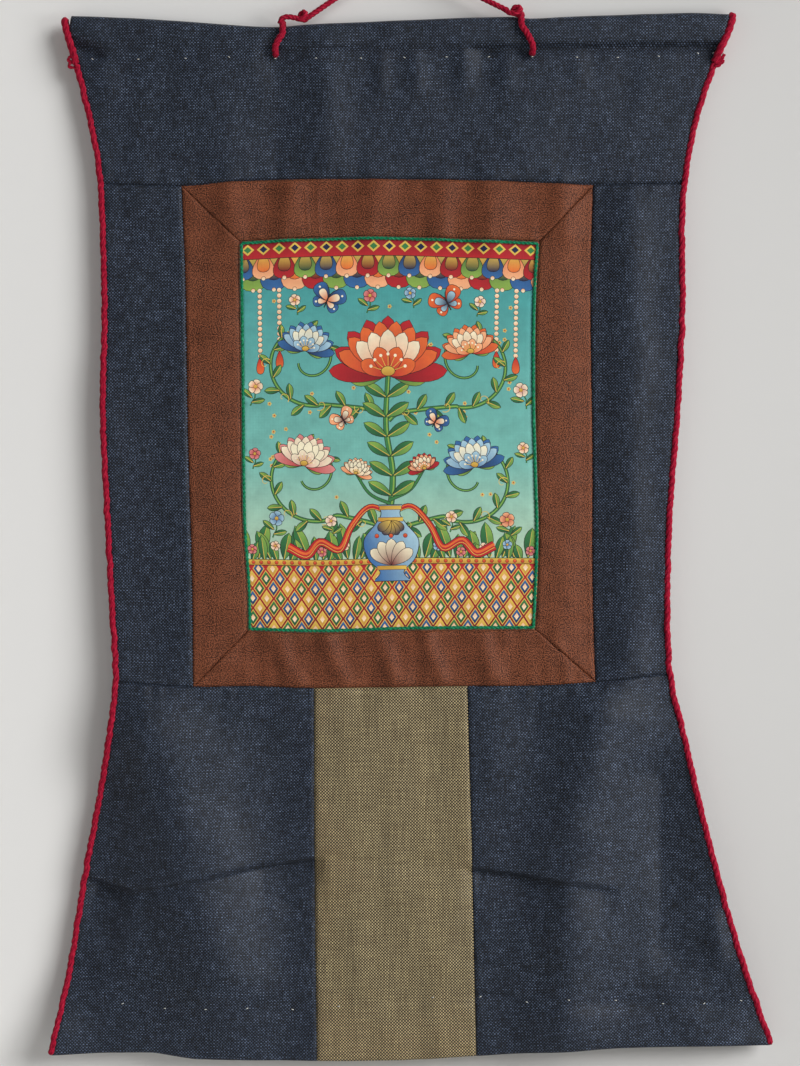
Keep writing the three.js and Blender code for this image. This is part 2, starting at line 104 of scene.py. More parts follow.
# border, its window and the centre panel: height, left, right
borderSides = [
    (-171, -169.5, 153), (-250, -166, 150.5), (-380, -163.5, 152), (-480, -160.5, 152), (-568, -159.5, 154),
]
windowSides = [
    (-215, -124, 111), (-265, -123.5, 108), (-345, -122.5, 107.5), (-405, -122, 109), (-445, -121, 110),
    (-485, -118, 109), (-525, -117, 107),
]
windowTop = [(-124, -219.5), (-80, -217), (-10, -215.5), (55, -217.5), (111, -219.5)]
windowBottom = [(-118, -523.5), (-60, -525), (10, -523), (107, -522.5)]
centreSides = [(-566, -65.5, 54), (-700, -65, 57.5), (-860, -63, 61)]

# half the depth of the top panel by distance below its upper edge: pocket, stitch line, one layer
pocketProfile = [
    (0, 0.9), (0.6, 2.2), (2.3, 3.8), (5, 4.6), (14, 4.7), (20, 4), (26, 2.2), (31, 1.6), (38, 0.8),
]
# how far the cloth swings out from the wall: height, forward
swing = [(-75, 0), (-180, 2), (-565, 6), (-720, 11), (-860, 12)]
# soft ridges and troughs: from x, height, to x, height, half width, rise towards the viewer
folds = [
    (-190, -606, -140, -790, 40, 14), (-268, -840, -268, -860, 20, 6), (-95, -625, -92, -830, 28, -4),
    (-236, -650, -252, -770, 36, -9), (160, -592, 140, -672, 30, 13), (136, -725, 130, -835, 30, 12),
    (204, -640, 212, -770, 20, -4.5), (235, -625, 248, -715, 15, 4), (262, -780, 268, -800, 20, 3),
    (298, -830, 302, -860, 40, -10), (152, -185, 152, -555, 15, -4.5), (184, -195, 182, -545, 16, 2.5),
    (-166, -300, -161, -540, 22, 3), (-225, -330, -219, -560, 26, 2), (-58, -74, -54, -158, 14, 3),
    (-150, -86, -140, -130, 24, 1.6), (110, -84, 95, -150, 26, 1.8),
]
# finer creases of the same kind: across the lower panels, under the pocket, along the hem and in the border
creases = [
    (-60, -702, 54, -708, 8, -1.2), (246, -750, 250, -778, 9, 3.6), (-262, -815, -66, -818, 8, -1.4),
    (62, -811, 285, -812, 8, -1.4), (-232, -752, -222, -778, 7, -1.6), (-256, -65, -236, -71, 6, -5),
    (-232, -70, -228, -100, 10, 1.4), (-14, -72, -13, -98, 7, 1.5), (14, -72, 15, -96, 7, 1.5),
    (52, -72, 50, -94, 8, 1.4), (86, -71, 84, -96, 8, 1.5), (140, -72, 142, -90, 9, 1.2),
    (-132, -178, -130, -212, 12, 3.2), (-84, -178, -86, -214, 11, 3.4), (-20, -178, -22, -214, 12, 3),
    (35, -177, 33, -213, 11, 3.2), (75, -178, 73, -216, 15, 4.4), (129, -180, 131, -212, 10, 3),
    (-94, -530, -82, -561, 8, 3.2), (-56, -530, -44, -561, 8, 3.2), (-14, -530, -2, -562, 8, 3.3),
    (22, -530, 32, -560, 8, 3.5), (64, -530, 74, -558, 9, 3.3), (-139, -280, -136, -540, 15, 2.2),
    (205, -640, 203, -770, 5, -0.8), (70, -592, 72, -680, 24, 2.6), (-97, -86, -92, -165, 15, -2.2),
    (-160, -529, -118, -529, 1.1, 0.35), (-118, -530, -119, -566, 1.1, 0.35),
    (-72, -178, -70, -214, 1.2, 0.4), (-63, -180, -61, -215, 1.2, 0.35), (112, -178, 114, -216, 1.2, 0.35),
    (118, -216, 151, -214, 1.1, 0.3),
]
# pressed creases, sharp above and soft below: from x, height, to x, height, half width, soft length, drop
tucks = [
    (-240, -717, -208, -726, 2, 26, 8), (-208, -726, -113, -708, 1.8, 26, 6),
    (-113, -708, -63, -701, 1.7, 26, 8.5), (57, -708.5, 124, -717, 1.7, 26, 9),
    (124, -717, 166, -724, 1.8, 20, 4.4), (58, -67, 254, -65, 1.6, 13, 7.5),
    (-106, -69, -70, -68.5, 1.8, 9, 4.2), (-64, -68.5, 52, -67, 1.8, 12, 2.4),
    (-252, -66, -222, -74, 2.5, 8, 2.8), (-88, -733, -66, -746, 2, 8, 2),
    (60, -781, 128, -784, 1.8, 10, 1.8), (60, -804, 98, -806, 1.8, 10, 1.6),
]
tuckTaper = 14  # length over which a pressed crease fades at each end


def smoothLine(rows, column=1):
    table = np.array(sorted(rows), float)
    at, value = table[:, 0], table[:, column]
    slope = np.gradient(value, at)
    slope[1:-1] = (value[2:] - value[:-2]) / (at[2:] - at[:-2])

    def read(t):
        t = np.asarray(t, float)
        i = np.clip(np.searchsorted(at, t, side="right") - 1, 0, len(at) - 2)
        span = at[i + 1] - at[i]
        s = np.clip((t - at[i]) / span, 0, 1)
        rest = 1 - s
        inside = rest * rest * (1 + 2 * s) * value[i] + s * s * (3 - 2 * s) * value[i + 1]
        inside = inside + span * s * rest * (rest * slope[i] - s * slope[i + 1])
        past = slope[0] * np.minimum(t - at[0], 0) + slope[-1] * np.maximum(t - at[-1], 0)
        return inside + past

    return read


leftEdge, rightEdge = smoothLine(sideEdges, 1), smoothLine(sideEdges, 2)
topOf, bottomOf = smoothLine(topEdge), smoothLine(bottomEdge)
upperSeamOf, lowerSeamOf = smoothLine(upperSeam), smoothLine(lowerSeam)
borderLeft, borderRight = smoothLine(borderSides, 1), smoothLine(borderSides, 2)
windowLeft, windowRight = smoothLine(windowSides, 1), smoothLine(windowSides, 2)
windowTopOf, windowBottomOf = smoothLine(windowTop), smoothLine(windowBottom)
centreLeft, centreRight = smoothLine(centreSides, 1), smoothLine(centreSides, 2)
pocketHalf, swingOf = smoothLine(pocketProfile), smoothLine(swing)

# slight unevenness of hand-sewn cloth, as waves of chance directions
unevenness = {"waves": 26, "shortest": 16, "longest": 70, "height": 0.11}
waveLength = chance.uniform(unevenness["shortest"], unevenness["longest"], unevenness["waves"])
waveTurn = chance.uniform(0, math.pi, unevenness["waves"])
waveStart = chance.uniform(0, 2 * math.pi, unevenness["waves"])


def relief(x, z):
    forward = np.where(z > swing[0][0], 0, swingOf(z))
    for startX, startZ, endX, endZ, halfWidth, rise in folds + creases:
        runX, runZ = endX - startX, endZ - startZ
        along = ((x - startX) * runX + (z - startZ) * runZ) / (runX**2 + runZ**2)
        along = np.clip(along, 0, 1)
        away = np.hypot(x - startX - along * runX, z - startZ - along * runZ) / halfWidth
        forward = forward + rise * np.exp(-away * away)
    for startX, startZ, endX, endZ, halfWidth, softLength, drop in tucks:
        runX, runZ = endX - startX, endZ - startZ
        length = math.hypot(runX, runZ)
        along = ((x - startX) * runX + (z - startZ) * runZ) / length
        below = ((x - startX) * runZ - (z - startZ) * runX) / length
        ends = np.clip(0.5 + np.minimum(along, length - along) / tuckTaper, 0, 1)
        fall = 1 / (1 + np.exp(np.clip(-2.5 * below / halfWidth, -30, 30)))
        forward = forward - drop * ends * fall * np.exp(-np.maximum(below, 0) / softLength)
    return forward


def uneven(x, z):
    total = 0
    for length, turn, start in zip(waveLength, waveTurn, waveStart):
        across = x * math.cos(turn) + z * math.sin(turn)
        total = total + np.sin(2 * math.pi * across / length + start) * length / unevenness["longest"]
    return total * unevenness["height"]


def moved(line, by):
    return lambda at: line(at) + by


def pointIn(edges, u, v):
    z = np.full_like(u, (edges["top"](0.0) + edges["bottom"](0.0)) / 2)
    for _ in range(12):
        x = edges["left"](z) * (1 - u) + edges["right"](z) * u
        z = edges["bottom"](x) * (1 - v) + edges["top"](x) * v
    return x, z


def meshFromArrays(name, points, faces, uv=None, material=None):
    mesh = bpy.data.meshes.new(name)
    mesh.from_pydata((np.asarray(points) * mm).tolist(), [], [list(map(int, f)) for f in faces])
    mesh.polygons.foreach_set("use_smooth", np.ones(len(mesh.polygons), bool))
    if uv is not None:
        corners = np.empty(len(mesh.loops), int)
        mesh.loops.foreach_get("vertex_index", corners)
        layer = mesh.uv_layers.new(name="cloth")
        layer.data.foreach_set("uv", (np.asarray(uv)[corners] * mm).ravel())
    if material:
        mesh.materials.append(material)
    mesh.update()
    piece = bpy.data.objects.new(name, mesh)
    bpy.context.collection.objects.link(piece)
    return piece


def settle(piece, slot, *nodes):
    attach(piece, "root")
    if nodes:
        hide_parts(*nodes)


# materials


def linear(hexColour):
    parts = [int(hexColour[i:i + 2], 16) / 255 for i in (1, 3, 5)]
    return [p / 12.92 if p <= 0.04045 else ((p + 0.055) / 1.055) ** 2.4 for p in parts] + [1]


def addNode(tree, kind, sockets=None, **settings):
    made = tree.nodes.new("ShaderNode" + kind)
    for key, value in settings.items():
        setattr(made, key, value)
    for key, value in (sockets or {}).items():
        if isinstance(value, bpy.types.Node):
            value = value.outputs[0]  # a node stands for its first output
        if isinstance(value, bpy.types.NodeSocket):
            tree.links.new(value, made.inputs[key])
        else:
            made.inputs[key].default_value = value
    return made


def newMaterial(name):
    material = bpy.data.materials.new(name)
    material.use_nodes = True
    material.node_tree.nodes.clear()
    return material, material.node_tree


def setDyes(ramp, look):
    ramp.color_ramp.elements.new(0.5)
    for element, place, tone in zip(ramp.color_ramp.elements, look["stops"], ("dark", "middle", "light")):
        element.position = place
        element.color = linear(look[tone])
    return ramp


def surface(tree, look, colour, height, roughness=None):
    relieved = addNode(tree, "Bump", {
        "Strength": look["bump"], "Distance": look["bumpDepth"] * mm, "Height": height})
    skin = addNode(tree, "BsdfPrincipled", {
        "Base Color": colour, "Roughness": roughness or look["roughness"], "Normal": relieved,
        "Specular IOR Level": look["gloss"], "Sheen Weight": look["sheen"],
        "Sheen Roughness": look["sheenSpread"]})
    addNode(tree, "OutputMaterial", {0: skin})


# dark melange cotton, plain woven from flecked yarn: fine light and dark specks, little gloss
# the real threads are about 0.8 mm apart; they are drawn coarser, or the render would not show them
melangeLook = {
    "name": "melange_cotton_plain_woven", "pitch": 1.25, "wander": 0.2, "drift": 22.22, "wornPatch": 16.67,
    "dark": "#0b0d13", "middle": "#202938", "light": "#515d72", "stops": (0.36, 0.5, 0.66),
    # gap: how dark the painted shade between the threads goes
    "fleck": 1.4, "slub": 0.09, "gap": 0.06, "twoTone": 0.95, "streak": 0.5, "worn": 0.12,
    "bump": 0.3, "bumpDepth": 0.6, "roughness": 0.56, "gloss": 0.26, "sheen": 0.05, "sheenSpread": 0.5,
}
# olive cotton, plain woven from thick pale and dark threads: a small checker of light and dark
oliveLook = {
    "name": "olive_cotton_plain_woven", "pitch": 1.2, "wander": 0.06, "drift": 22.22, "wornPatch": 16.67,
    "dark": "#6a5b3f", "middle": "#7f7152", "light": "#9d8e67", "stops": (0.36, 0.5, 0.66),
    # gap: how dark the painted shade between the threads goes
    "fleck": 0.9, "slub": 0.05, "gap": 0.15, "twoTone": -0.95, "streak": 0.1, "worn": 0.14,
    "bump": 0.5, "bumpDepth": 0.6, "roughness": 0.6, "gloss": 0.4, "sheen": 0.05, "sheenSpread": 0.5,
}


def wovenCloth(look):
    material, tree = newMaterial(look["name"])
    spot = addNode(tree, "UVMap", uv_map="cloth")
    drift = addNode(tree, "TexNoise", {"Vector": spot, "Scale": 1 / (look["drift"] * mm), "Detail": 2})
    drift = addNode(
        tree, "VectorMath", {0: drift.outputs["Color"], "Scale": look["wander"]}, operation="SCALE")
    perThread = 1 / (look["pitch"] * mm)
    threads = addNode(tree, "VectorMath", {0: spot, 1: (perThread,) * 3, 2: drift}, operation="MULTIPLY_ADD")
    parts = addNode(tree, "SeparateXYZ", {0: threads})
    over = addNode(tree, "TexChecker", {"Vector": threads, "Scale": 1}).outputs["Fac"]
    crownX, crownY = [
        addNode(tree, "Math", {0: parts.outputs[k], 1: 0.5}, operation="PINGPONG") for k in (0, 1)]
    crown = addNode(tree, "Mix", {0: over, 2: crownX, 3: crownY}, data_type="FLOAT")
    flecks = []
    for stretch in ((1, look["slub"], 1), (look["slub"], 1, 1)):  # each yarn changes slowly along itself
        along = addNode(tree, "VectorMath", {0: threads, 1: stretch}, operation="MULTIPLY")
        flecks.append(addNode(
            tree, "TexNoise", {"Vector": along, "Scale": look["fleck"], "Detail": 3, "Roughness": 0.7}))
    fleck = addNode(tree, "Mix", {0: 0.5, 2: flecks[0], 3: flecks[1]}, data_type="FLOAT")
    # painted shade: the colour darkens from each thread's crown into the gap beside it, down to the share
    # "gap" of the dye
    shade = addNode(tree, "MapRange", {0: crown, 1: 0, 2: 0.32, 3: look["gap"], 4: 1.12})
    streaks = addNode(tree, "VectorMath", {0: spot, 1: (1, look["streak"], 1)}, operation="MULTIPLY")
    worn = addNode(
        tree, "TexNoise", {"Vector": streaks, "Scale": 1 / (look["wornPatch"] * mm), "Detail": 5})
    worn = addNode(
        tree, "MapRange", {0: worn, 1: 0.3, 2: 0.7, 3: 1 - look["worn"], 4: 1 + look["worn"]})
    yarn = addNode(tree, "MapRange", {0: over, 3: 1 - look["twoTone"], 4: 1 + look["twoTone"]})
    tone = addNode(tree, "Math", {0: shade, 1: worn}, operation="MULTIPLY")
    tone = addNode(tree, "Math", {0: tone, 1: yarn}, operation="MULTIPLY")
    dye = setDyes(addNode(tree, "ValToRGB", {0: fleck}), look)
    base = addNode(tree, "VectorMath", {0: dye, "Scale": tone}, operation="SCALE")
    surface(tree, look, base, crown)
    return material


# brown cotton with a brushed nap: short fibres lean along the strip in faint rows, light on its folds
# the real fibres are about 0.3 mm apart; they are drawn coarser, or the render would not show them
napLook = {
    "name": "brown_cotton_brushed_nap", "dark": "#1d0d07", "middle": "#643825", "light": "#8a5036",
    "stops": (0.43, 0.5, 0.57), "fibre": 0.75, "lean": 0.85, "rows": 3.8, "rowShare": 0.012, "patch": 16,
    "patchShare": 0.12, "bump": 0.4, "bumpDepth": 0.5, "roughness": 0.6, "gloss": 0.14, "sheen": 0.03,
    "sheenSpread": 0.4,
}


def nappedCloth(look):
    material, tree = newMaterial(look["name"])
    spot = addNode(tree, "UVMap", uv_map="cloth")
    leaning = addNode(tree, "VectorMath", {0: spot, 1: (look["lean"], 1, 1)}, operation="MULTIPLY")
    grain, patch = [
        addNode(tree, "TexNoise", {
            "Vector": leaning, "Scale": 1 / (look[size] * mm), "Detail": detail, "Roughness": 0.6})
        for size, detail in (("fibre", 2), ("patch", 4))]
    rows = addNode(tree, "TexWave", {
        "Vector": spot, "Scale": 2 * math.pi / (20 * look["rows"] * mm), "Distortion": 2, "Detail": 2,
        "Detail Scale": 1.5}, bands_direction="Y")
    nap = addNode(tree, "Mix", {0: look["patchShare"], 2: grain, 3: patch}, data_type="FLOAT")
    nap = addNode(tree, "Mix", {0: look["rowShare"], 2: nap, 3: rows.outputs["Fac"]}, data_type="FLOAT")
    dye = setDyes(addNode(tree, "ValToRGB", {0: nap}), look)
    surface(tree, look, dye, nap)
    return material


# mercerised cotton yarn, twisted into cord: fibres run along each strand and darken in the grooves
crimsonDye = {
    "name": "crimson_cotton_yarn_twisted", "dark": "#480010", "middle": "#98092a", "light": "#cf3a52",
}
greenDye = {
    "name": "green_cotton_yarn_twisted", "dark": "#023021", "middle": "#0b744d", "light": "#4cbb8f",
}
whiteDye = {
    "name": "white_cotton_thread_twisted", "dark": "#a8a8a2", "middle": "#d9d9d3", "light": "#f0f0ea",
}
yarnLook = {  # what the three yarns share
    "spacing": 0.55, "alongShare": 0.12, "stops": (0.32, 0.52, 0.72), "bump": 0.6, "bumpDepth": 0.3,
    "roughness": 0.85, "gloss": 0.12, "sheen": 0.03, "sheenSpread": 0.4,
}


def twistedYarn(dye):
    look = {**yarnLook, **dye}
    material, tree = newMaterial(look["name"])
    spot = addNode(tree, "UVMap", uv_map="cloth")
    perFibre = 1 / (look["spacing"] * mm)
    stretch = (perFibre * look["alongShare"], perFibre, perFibre)
    fibres = addNode(tree, "VectorMath", {0: spot, 1: stretch}, operation="MULTIPLY")
    fibre = addNode(tree, "TexNoise", {"Vector": fibres, "Scale": 1, "Detail": 3, "Roughness": 0.7})
    dye = setDyes(addNode(tree, "ValToRGB", {0: fibre}), look)
    surface(tree, look, dye, fibre)
    return material


# mineral paint in glue on sized cotton canvas: matte colour that lets the canvas weave show a little
paintLook = {
    "name": "mineral_paint_on_cotton_canvas", "pitch": 1.2, "cloud": 14.286, "cloudTone": (0.86, 1.12),
    "cloudRoughness": (0.68, 0.85), "bump": 0.25, "bumpDepth": 0.3, "gloss": 0.3, "sheen": 0,
    "sheenSpread": 0.5,
}
# the unpainted back of the canvas, sized with chalk and glue: pale, dull and a little cloudy
sizedLook = {
    "name": "chalk_sized_canvas_back", "dark": "#a59a86", "middle": "#bdb29d", "light": "#cfc6b4",
    "stops": (0.3, 0.5, 0.7), "pitch": 1.2, "cloud": 16.67, "bump": 0.4, "bumpDepth": 0.4, "roughness": 0.9,
    "gloss": 0.2, "sheen": 0, "sheenSpread": 0.5,
}


def canvasWeave(tree, spot, pitch):
    threads = addNode(tree, "VectorMath", {0: spot, 1: (1 / (pitch * mm),) * 3}, operation="MULTIPLY")
    parts = addNode(tree, "SeparateXYZ", {0: threads})
    rise, fall = [
        addNode(tree, "Math", {0: parts.outputs[k], 1: 0.5}, operation="PINGPONG") for k in (0, 1)]
    return addNode(tree, "Math", {0: rise, 1: fall}, operation="ADD")


def paintedCanvas(look):
    material, tree = newMaterial(look["name"])
    spot = addNode(tree, "UVMap", uv_map="cloth")
    pigment = addNode(tree, "Attribute", attribute_name="paint")
    cloud = addNode(tree, "TexNoise", {
        "Vector": spot, "Scale": 1 / (look["cloud"] * mm), "Detail": 6, "Roughness": 0.65})
    tone, rough = [
        addNode(tree, "MapRange", {0: cloud, 1: 0.3, 2: 0.7, 3: look[part][0], 4: look[part][1]})
        for part in ("cloudTone", "cloudRoughness")]
    base = addNode(tree, "VectorMath", {0: pigment, "Scale": tone}, operation="SCALE")
    surface(tree, look, base, canvasWeave(tree, spot, look["pitch"]), rough)
    return material


def sizedCanvas(look):
    material, tree = newMaterial(look["name"])
    spot = addNode(tree, "UVMap", uv_map="cloth")
    cloud = addNode(tree, "TexNoise", {
        "Vector": spot, "Scale": 1 / (look["cloud"] * mm), "Detail": 6, "Roughness": 0.7})
    dye = setDyes(addNode(tree, "ValToRGB", {0: cloud}), look)
    surface(tree, look, dye, canvasWeave(tree, spot, look["pitch"]))
    return material


melange, olive, brown = wovenCloth(melangeLook), wovenCloth(oliveLook), nappedCloth(napLook)
crimson, green, white = twistedYarn(crimsonDye), twistedYarn(greenDye), twistedYarn(whiteDye)
painted, sized = paintedCanvas(paintLook), sizedCanvas(sizedLook)
print("materials made")

# cloth sheets: how the face rolls down into a seam, and the turned-in edge behind it
sheetSetup = {
    "thickness": 1.6, "hemThickness": 2.8, "hemHeight": 40, "hemStep": 6,
    "seamRoll": 1.2, "seamRollWidth": 2.6, "edgeRoll": 0.7, "edgeRollWidth": 2,
    "underCord": 0.9, "underLoop": 1.8, "underLoopRise": 24, "turnIn": 10, "turnInStep": 2.5,
    "turnInThickness": 0.6, "pucker": 0.35, "puckerReach": 9, "puckerClear": 1.5, "pocketCrowding": 1.6,
}
puckerWaves = {"count": 7, "shortest": 7, "longest": 22}


def puckers(at, seed):
    own = np.random.default_rng(seed)
    total = 0
    for _ in range(puckerWaves["count"]):
        length = own.uniform(puckerWaves["shortest"], puckerWaves["longest"])
        total = total + np.sin(2 * math.pi * at / length + own.uniform(0, 6.3))
    return total / 3


def clothSheet(name, edges, material, slot, seams, grain=0, half=None, spread=None, spacing=1.8, pucker=1):
    setup = sheetSetup
    middleX, middleZ = pointIn(edges, np.array([0, 1, 0.5, 0.5]), np.array([0.5, 0.5, 0, 1]))
    across = max(8, round(abs(middleX[1] - middleX[0]) / spacing))
    down = max(8, round(abs(middleZ[3] - middleZ[2]) / spacing))
    u, v = np.meshgrid(np.linspace(0, 1, across + 1), np.linspace(0, 1, down + 1))
    v = spread(v) if spread else v
    x, z = pointIn(edges, u, v)
    thick = half(x, z) if half else np.full_like(x, setup["thickness"] / 2)
    middle = relief(x, z) + uneven(x, z)
    away = {
        "left": x - edges["left"](z), "right": edges["right"](z) - x,
        "top": edges["top"](x) - z, "bottom": z - edges["bottom"](x),
    }
    roll, turned = np.zeros_like(x), np.zeros_like(x)
    for number, (side, gap) in enumerate(away.items()):
        kind = "seam" if side in seams else "edge"
        near = np.clip(1 - gap / setup[kind + "RollWidth"], 0, 1)
        roll = np.maximum(roll, setup[kind + "Roll"] * near**2)
        if side in seams:
            turned = np.maximum(turned, np.clip((setup["turnIn"] - gap) / setup["turnInStep"], 0, 1))
            along = z if side in ("left", "right") else x
            seed = sum(map(ord, name)) * 10 + number
            ripple = setup["pucker"] * pucker * np.exp(-gap / (setup["puckerReach"] * pucker))
            ripple = ripple * np.clip(gap / setup["puckerClear"], 0, 1)  # the sewn edges themselves meet
            middle = middle + ripple * puckers(along / pucker, seed)
    front = -middle - thick + roll
    back = -middle + thick + turned * setup["turnInThickness"]
    count = x.size
    points = np.concatenate([np.stack([x, y, z], -1).reshape(-1, 3) for y in (front, back)])
    order = np.arange(count).reshape(x.shape)
    cells = np.stack([order[:-1, :-1], order[:-1, 1:], order[1:, 1:], order[1:, :-1]], -1).reshape(-1, 4)
    ring = np.concatenate([order[0, :-1], order[:-1, -1], order[-1, :0:-1], order[:0:-1, 0]])
    after = np.roll(ring, -1)
    rim = np.stack([ring, ring + count, after + count, after], -1)
    faces = np.concatenate([cells, cells[:, ::-1] + count, rim])
    warp, weft = math.cos(math.radians(grain)), math.sin(math.radians(grain))
    uv = np.stack([x * warp + z * weft, z * warp - x * weft], -1).reshape(-1, 2)
    piece = meshFromArrays(f"{name}_cloth", points, faces, np.concatenate([uv, uv]), material)
    settle(piece, slot, name)


def pocketDepth(x, z):
    return pocketHalf(np.clip(topOf(x) - z, 0, pocketProfile[-1][0]))


def hemDepth(x, z):
    setup = sheetSetup
    hem = np.clip((setup["hemHeight"] + setup["hemStep"] - (z - bottomOf(x))) / setup["hemStep"], 0, 1)
    hem = hem * hem * (3 - 2 * hem)
    return (setup["thickness"] + (setup["hemThickness"] - setup["thickness"]) * hem) / 2


def mitre(outerX, outerZ, innerX, innerZ):
    startZ = outerZ(outerX((outerZ(0.0) + innerZ(0.0)) / 2))
    startX = outerX(startZ)
    endX = innerX(innerZ(startX))
    endZ = innerZ(endX)
    slope = (endZ - startZ) / (endX - startX)
    return (lambda z: startX + (z - startZ) / slope), (lambda x: startZ + (x - startX) * slope)


# the two edge cords: loop over the pocket's end, knot below it, lower end
edgeEnds = {
    "left": {"side": -1, "loopX": -260, "loopTop": -44, "knotZ": -80, "bottom": -851.5},
    "right": {"side": 1, "loopX": 261.2, "loopTop": -40, "knotZ": -78.5, "bottom": -846.5},
}


def makeCloth():
    everySide = ("left", "right", "top", "bottom")
    hemLeft, hemRight = moved(leftEdge, -sheetSetup["underCord"]), moved(rightEdge, sheetSetup["underCord"])

    def loopSide(z):
        above = (z - edgeEnds["left"]["knotZ"]) / sheetSetup["underLoopRise"]
        return sheetSetup["underLoop"] * np.clip(above, 0, 1)

    clothSheet(
        "top_panel", {
            "left": lambda z: hemLeft(z) - loopSide(z), "right": lambda z: hemRight(z) + loopSide(z),
            "top": topOf, "bottom": upperSeamOf},
        melange, "dark_cloth", ("bottom",), half=pocketDepth,
        spread=lambda v: 1 - (1 - v) ** sheetSetup["pocketCrowding"])
    clothSheet(
        "side_panel_left", {"left": hemLeft, "right": borderLeft, "top": upperSeamOf, "bottom": lowerSeamOf},
        melange, "dark_cloth", ("right", "top", "bottom"), grain=1)
    clothSheet(
        "side_panel_right",
        {"left": borderRight, "right": hemRight, "top": upperSeamOf, "bottom": lowerSeamOf},
        melange, "dark_cloth", ("left", "top", "bottom"), grain=-1)
    clothSheet(
        "lower_panel_left", {"left": hemLeft, "right": centreLeft, "top": lowerSeamOf, "bottom": bottomOf},
        melange, "dark_cloth", ("right", "top"), grain=-3, half=hemDepth, spacing=1.3)
    clothSheet(
        "centre_panel", {"left": centreLeft, "right": centreRight, "top": lowerSeamOf, "bottom": bottomOf},
        olive, "olive_cloth", ("left", "right", "top"), grain=1, half=hemDepth)
    clothSheet(
        "lower_panel_right", {"left": centreRight, "right": hemRight, "top": lowerSeamOf, "bottom": bottomOf},
        melange, "dark_cloth", ("left", "top"), grain=4, half=hemDepth, spacing=1.3)
    topLeftX, topLeftZ = mitre(borderLeft, upperSeamOf, windowLeft, windowTopOf)
    topRightX, topRightZ = mitre(borderRight, upperSeamOf, windowRight, windowTopOf)
    bottomLeftX, bottomLeftZ = mitre(borderLeft, lowerSeamOf, windowLeft, windowBottomOf)
    bottomRightX, bottomRightZ = mitre(borderRight, lowerSeamOf, windowRight, windowBottomOf)
    strips = {
        "border_top": {"left": topLeftX, "right": topRightX, "top": upperSeamOf, "bottom": windowTopOf},
        "border_bottom": {
            "left": bottomLeftX, "right": bottomRightX, "top": windowBottomOf, "bottom": lowerSeamOf},
        "border_left": {"left": borderLeft, "right": windowLeft, "top": topLeftZ, "bottom": bottomLeftZ},
        "border_right": {"left": windowRight, "right": borderRight, "top": topRightZ, "bottom": bottomRightZ},
    }
    for name, edges in strips.items():
        along = 90 if name in ("border_left", "border_right") else 0
        clothSheet(name, edges, brown, "brown_cloth", everySide, grain=along, spacing=1.2, pucker=1.6)


makeCloth()
print("cloth sheets made")

# cords


def splineThrough(points, step):
    points = np.asarray(points, float)
    padded = np.concatenate([[2 * points[0] - points[1]], points, [2 * points[-1] - points[-2]]])
    out = []
    for a, b, c, d in zip(padded[:-3], padded[1:-2], padded[2:-1], padded[3:]):
        count = max(3, int(np.linalg.norm(c - b) / step * 2))
        for t in np.linspace(0, 1, count, endpoint=False):
            square, cube = (2 * a - 5 * b + 4 * c - d) * t**2, (3 * b - a - 3 * c + d) * t**3
            out.append(0.5 * (2 * b + (c - a) * t + square + cube))
    out = np.array(out + [points[-1]])
    gone = np.concatenate([[0], np.cumsum(np.linalg.norm(np.diff(out, axis=0), axis=1))])
    even = np.linspace(0, gone[-1], max(4, int(gone[-1] / step)) + 1)
    return np.stack([np.interp(even, gone, column) for column in out.T], -1)


def strandAlong(path, radius, sides, offsetRadius=0, pitch=1, phase=0, fade=0, lumps=0):
    path = np.asarray(path, float)
    ahead = np.gradient(path, axis=0)
    ahead /= np.linalg.norm(ahead, axis=1)[:, None]
    gone = np.concatenate([[0], np.cumsum(np.linalg.norm(np.diff(path, axis=0), axis=1))])
    side = np.cross(ahead[0], [0.31, 0.87, 0.38])
    normals = []
    for direction in ahead:
        side = side - direction * side.dot(direction)
        side = side / np.linalg.norm(side)
        normals.append(side)
    normals = np.array(normals)
    binormals = np.cross(ahead, normals)
    turn = 2 * math.pi * gone / pitch + phase
    centre = path + offsetRadius * (np.cos(turn)[:, None] * normals + np.sin(turn)[:, None] * binormals)
    around = np.linspace(0, 2 * math.pi, sides, endpoint=False)
    size = radius * (1 + lumps * puckers(gone * 1.6, int(phase * 10) + 5))
    if fade:  # blunt, rounded ends
        size = size * np.sqrt(np.clip(np.minimum(gone, gone[-1] - gone) / fade, 0.12, 1))
    rings = centre[:, None] + size[:, None, None] * (
        np.cos(around)[None, :, None] * normals[:, None] + np.sin(around)[None, :, None] * binormals[:, None])
    count = len(path)
    points = np.concatenate([rings.reshape(-1, 3), centre[:1], centre[-1:]])
    order = np.arange(count * sides).reshape(count, sides)
    nextSide = np.roll(order, -1, axis=1)
    quads = np.stack([order[:-1], nextSide[:-1], nextSide[1:], order[1:]], -1).reshape(-1, 4).tolist()
    first, last = count * sides, count * sides + 1
    caps = [[first, b, a] for a, b in zip(order[0], nextSide[0])]
    caps += [[last, a, b] for a, b in zip(order[-1], nextSide[-1])]
    uv = np.stack([np.repeat(gone, sides), np.tile(around * radius, count) + phase * 7], -1)
    uv = np.concatenate([uv, [[0, 0], [gone[-1], 0]]])
    return points, quads + caps, uv


def joined(parts):
    points, faces, uv, start = [], [], [], 0
    for part in parts:
        points.append(part[0])
        faces.extend([[i + start for i in face] for face in part[1]])
        uv.append(part[2])
        start += len(part[0])
    return np.concatenate(points), faces, np.concatenate(uv)


def twisted(route, diameter, pitch, strands=3, step=0.9, sides=8, fade=0, lumps=0):
    path = splineThrough(route, step)
    radius = diameter * cords["strandShare"]
    away = diameter / 2 - radius
    turns = [2 * math.pi * k / strands for k in range(strands)]
    return [strandAlong(path, radius, sides, away, pitch, turn, fade, lumps) for turn in turns]


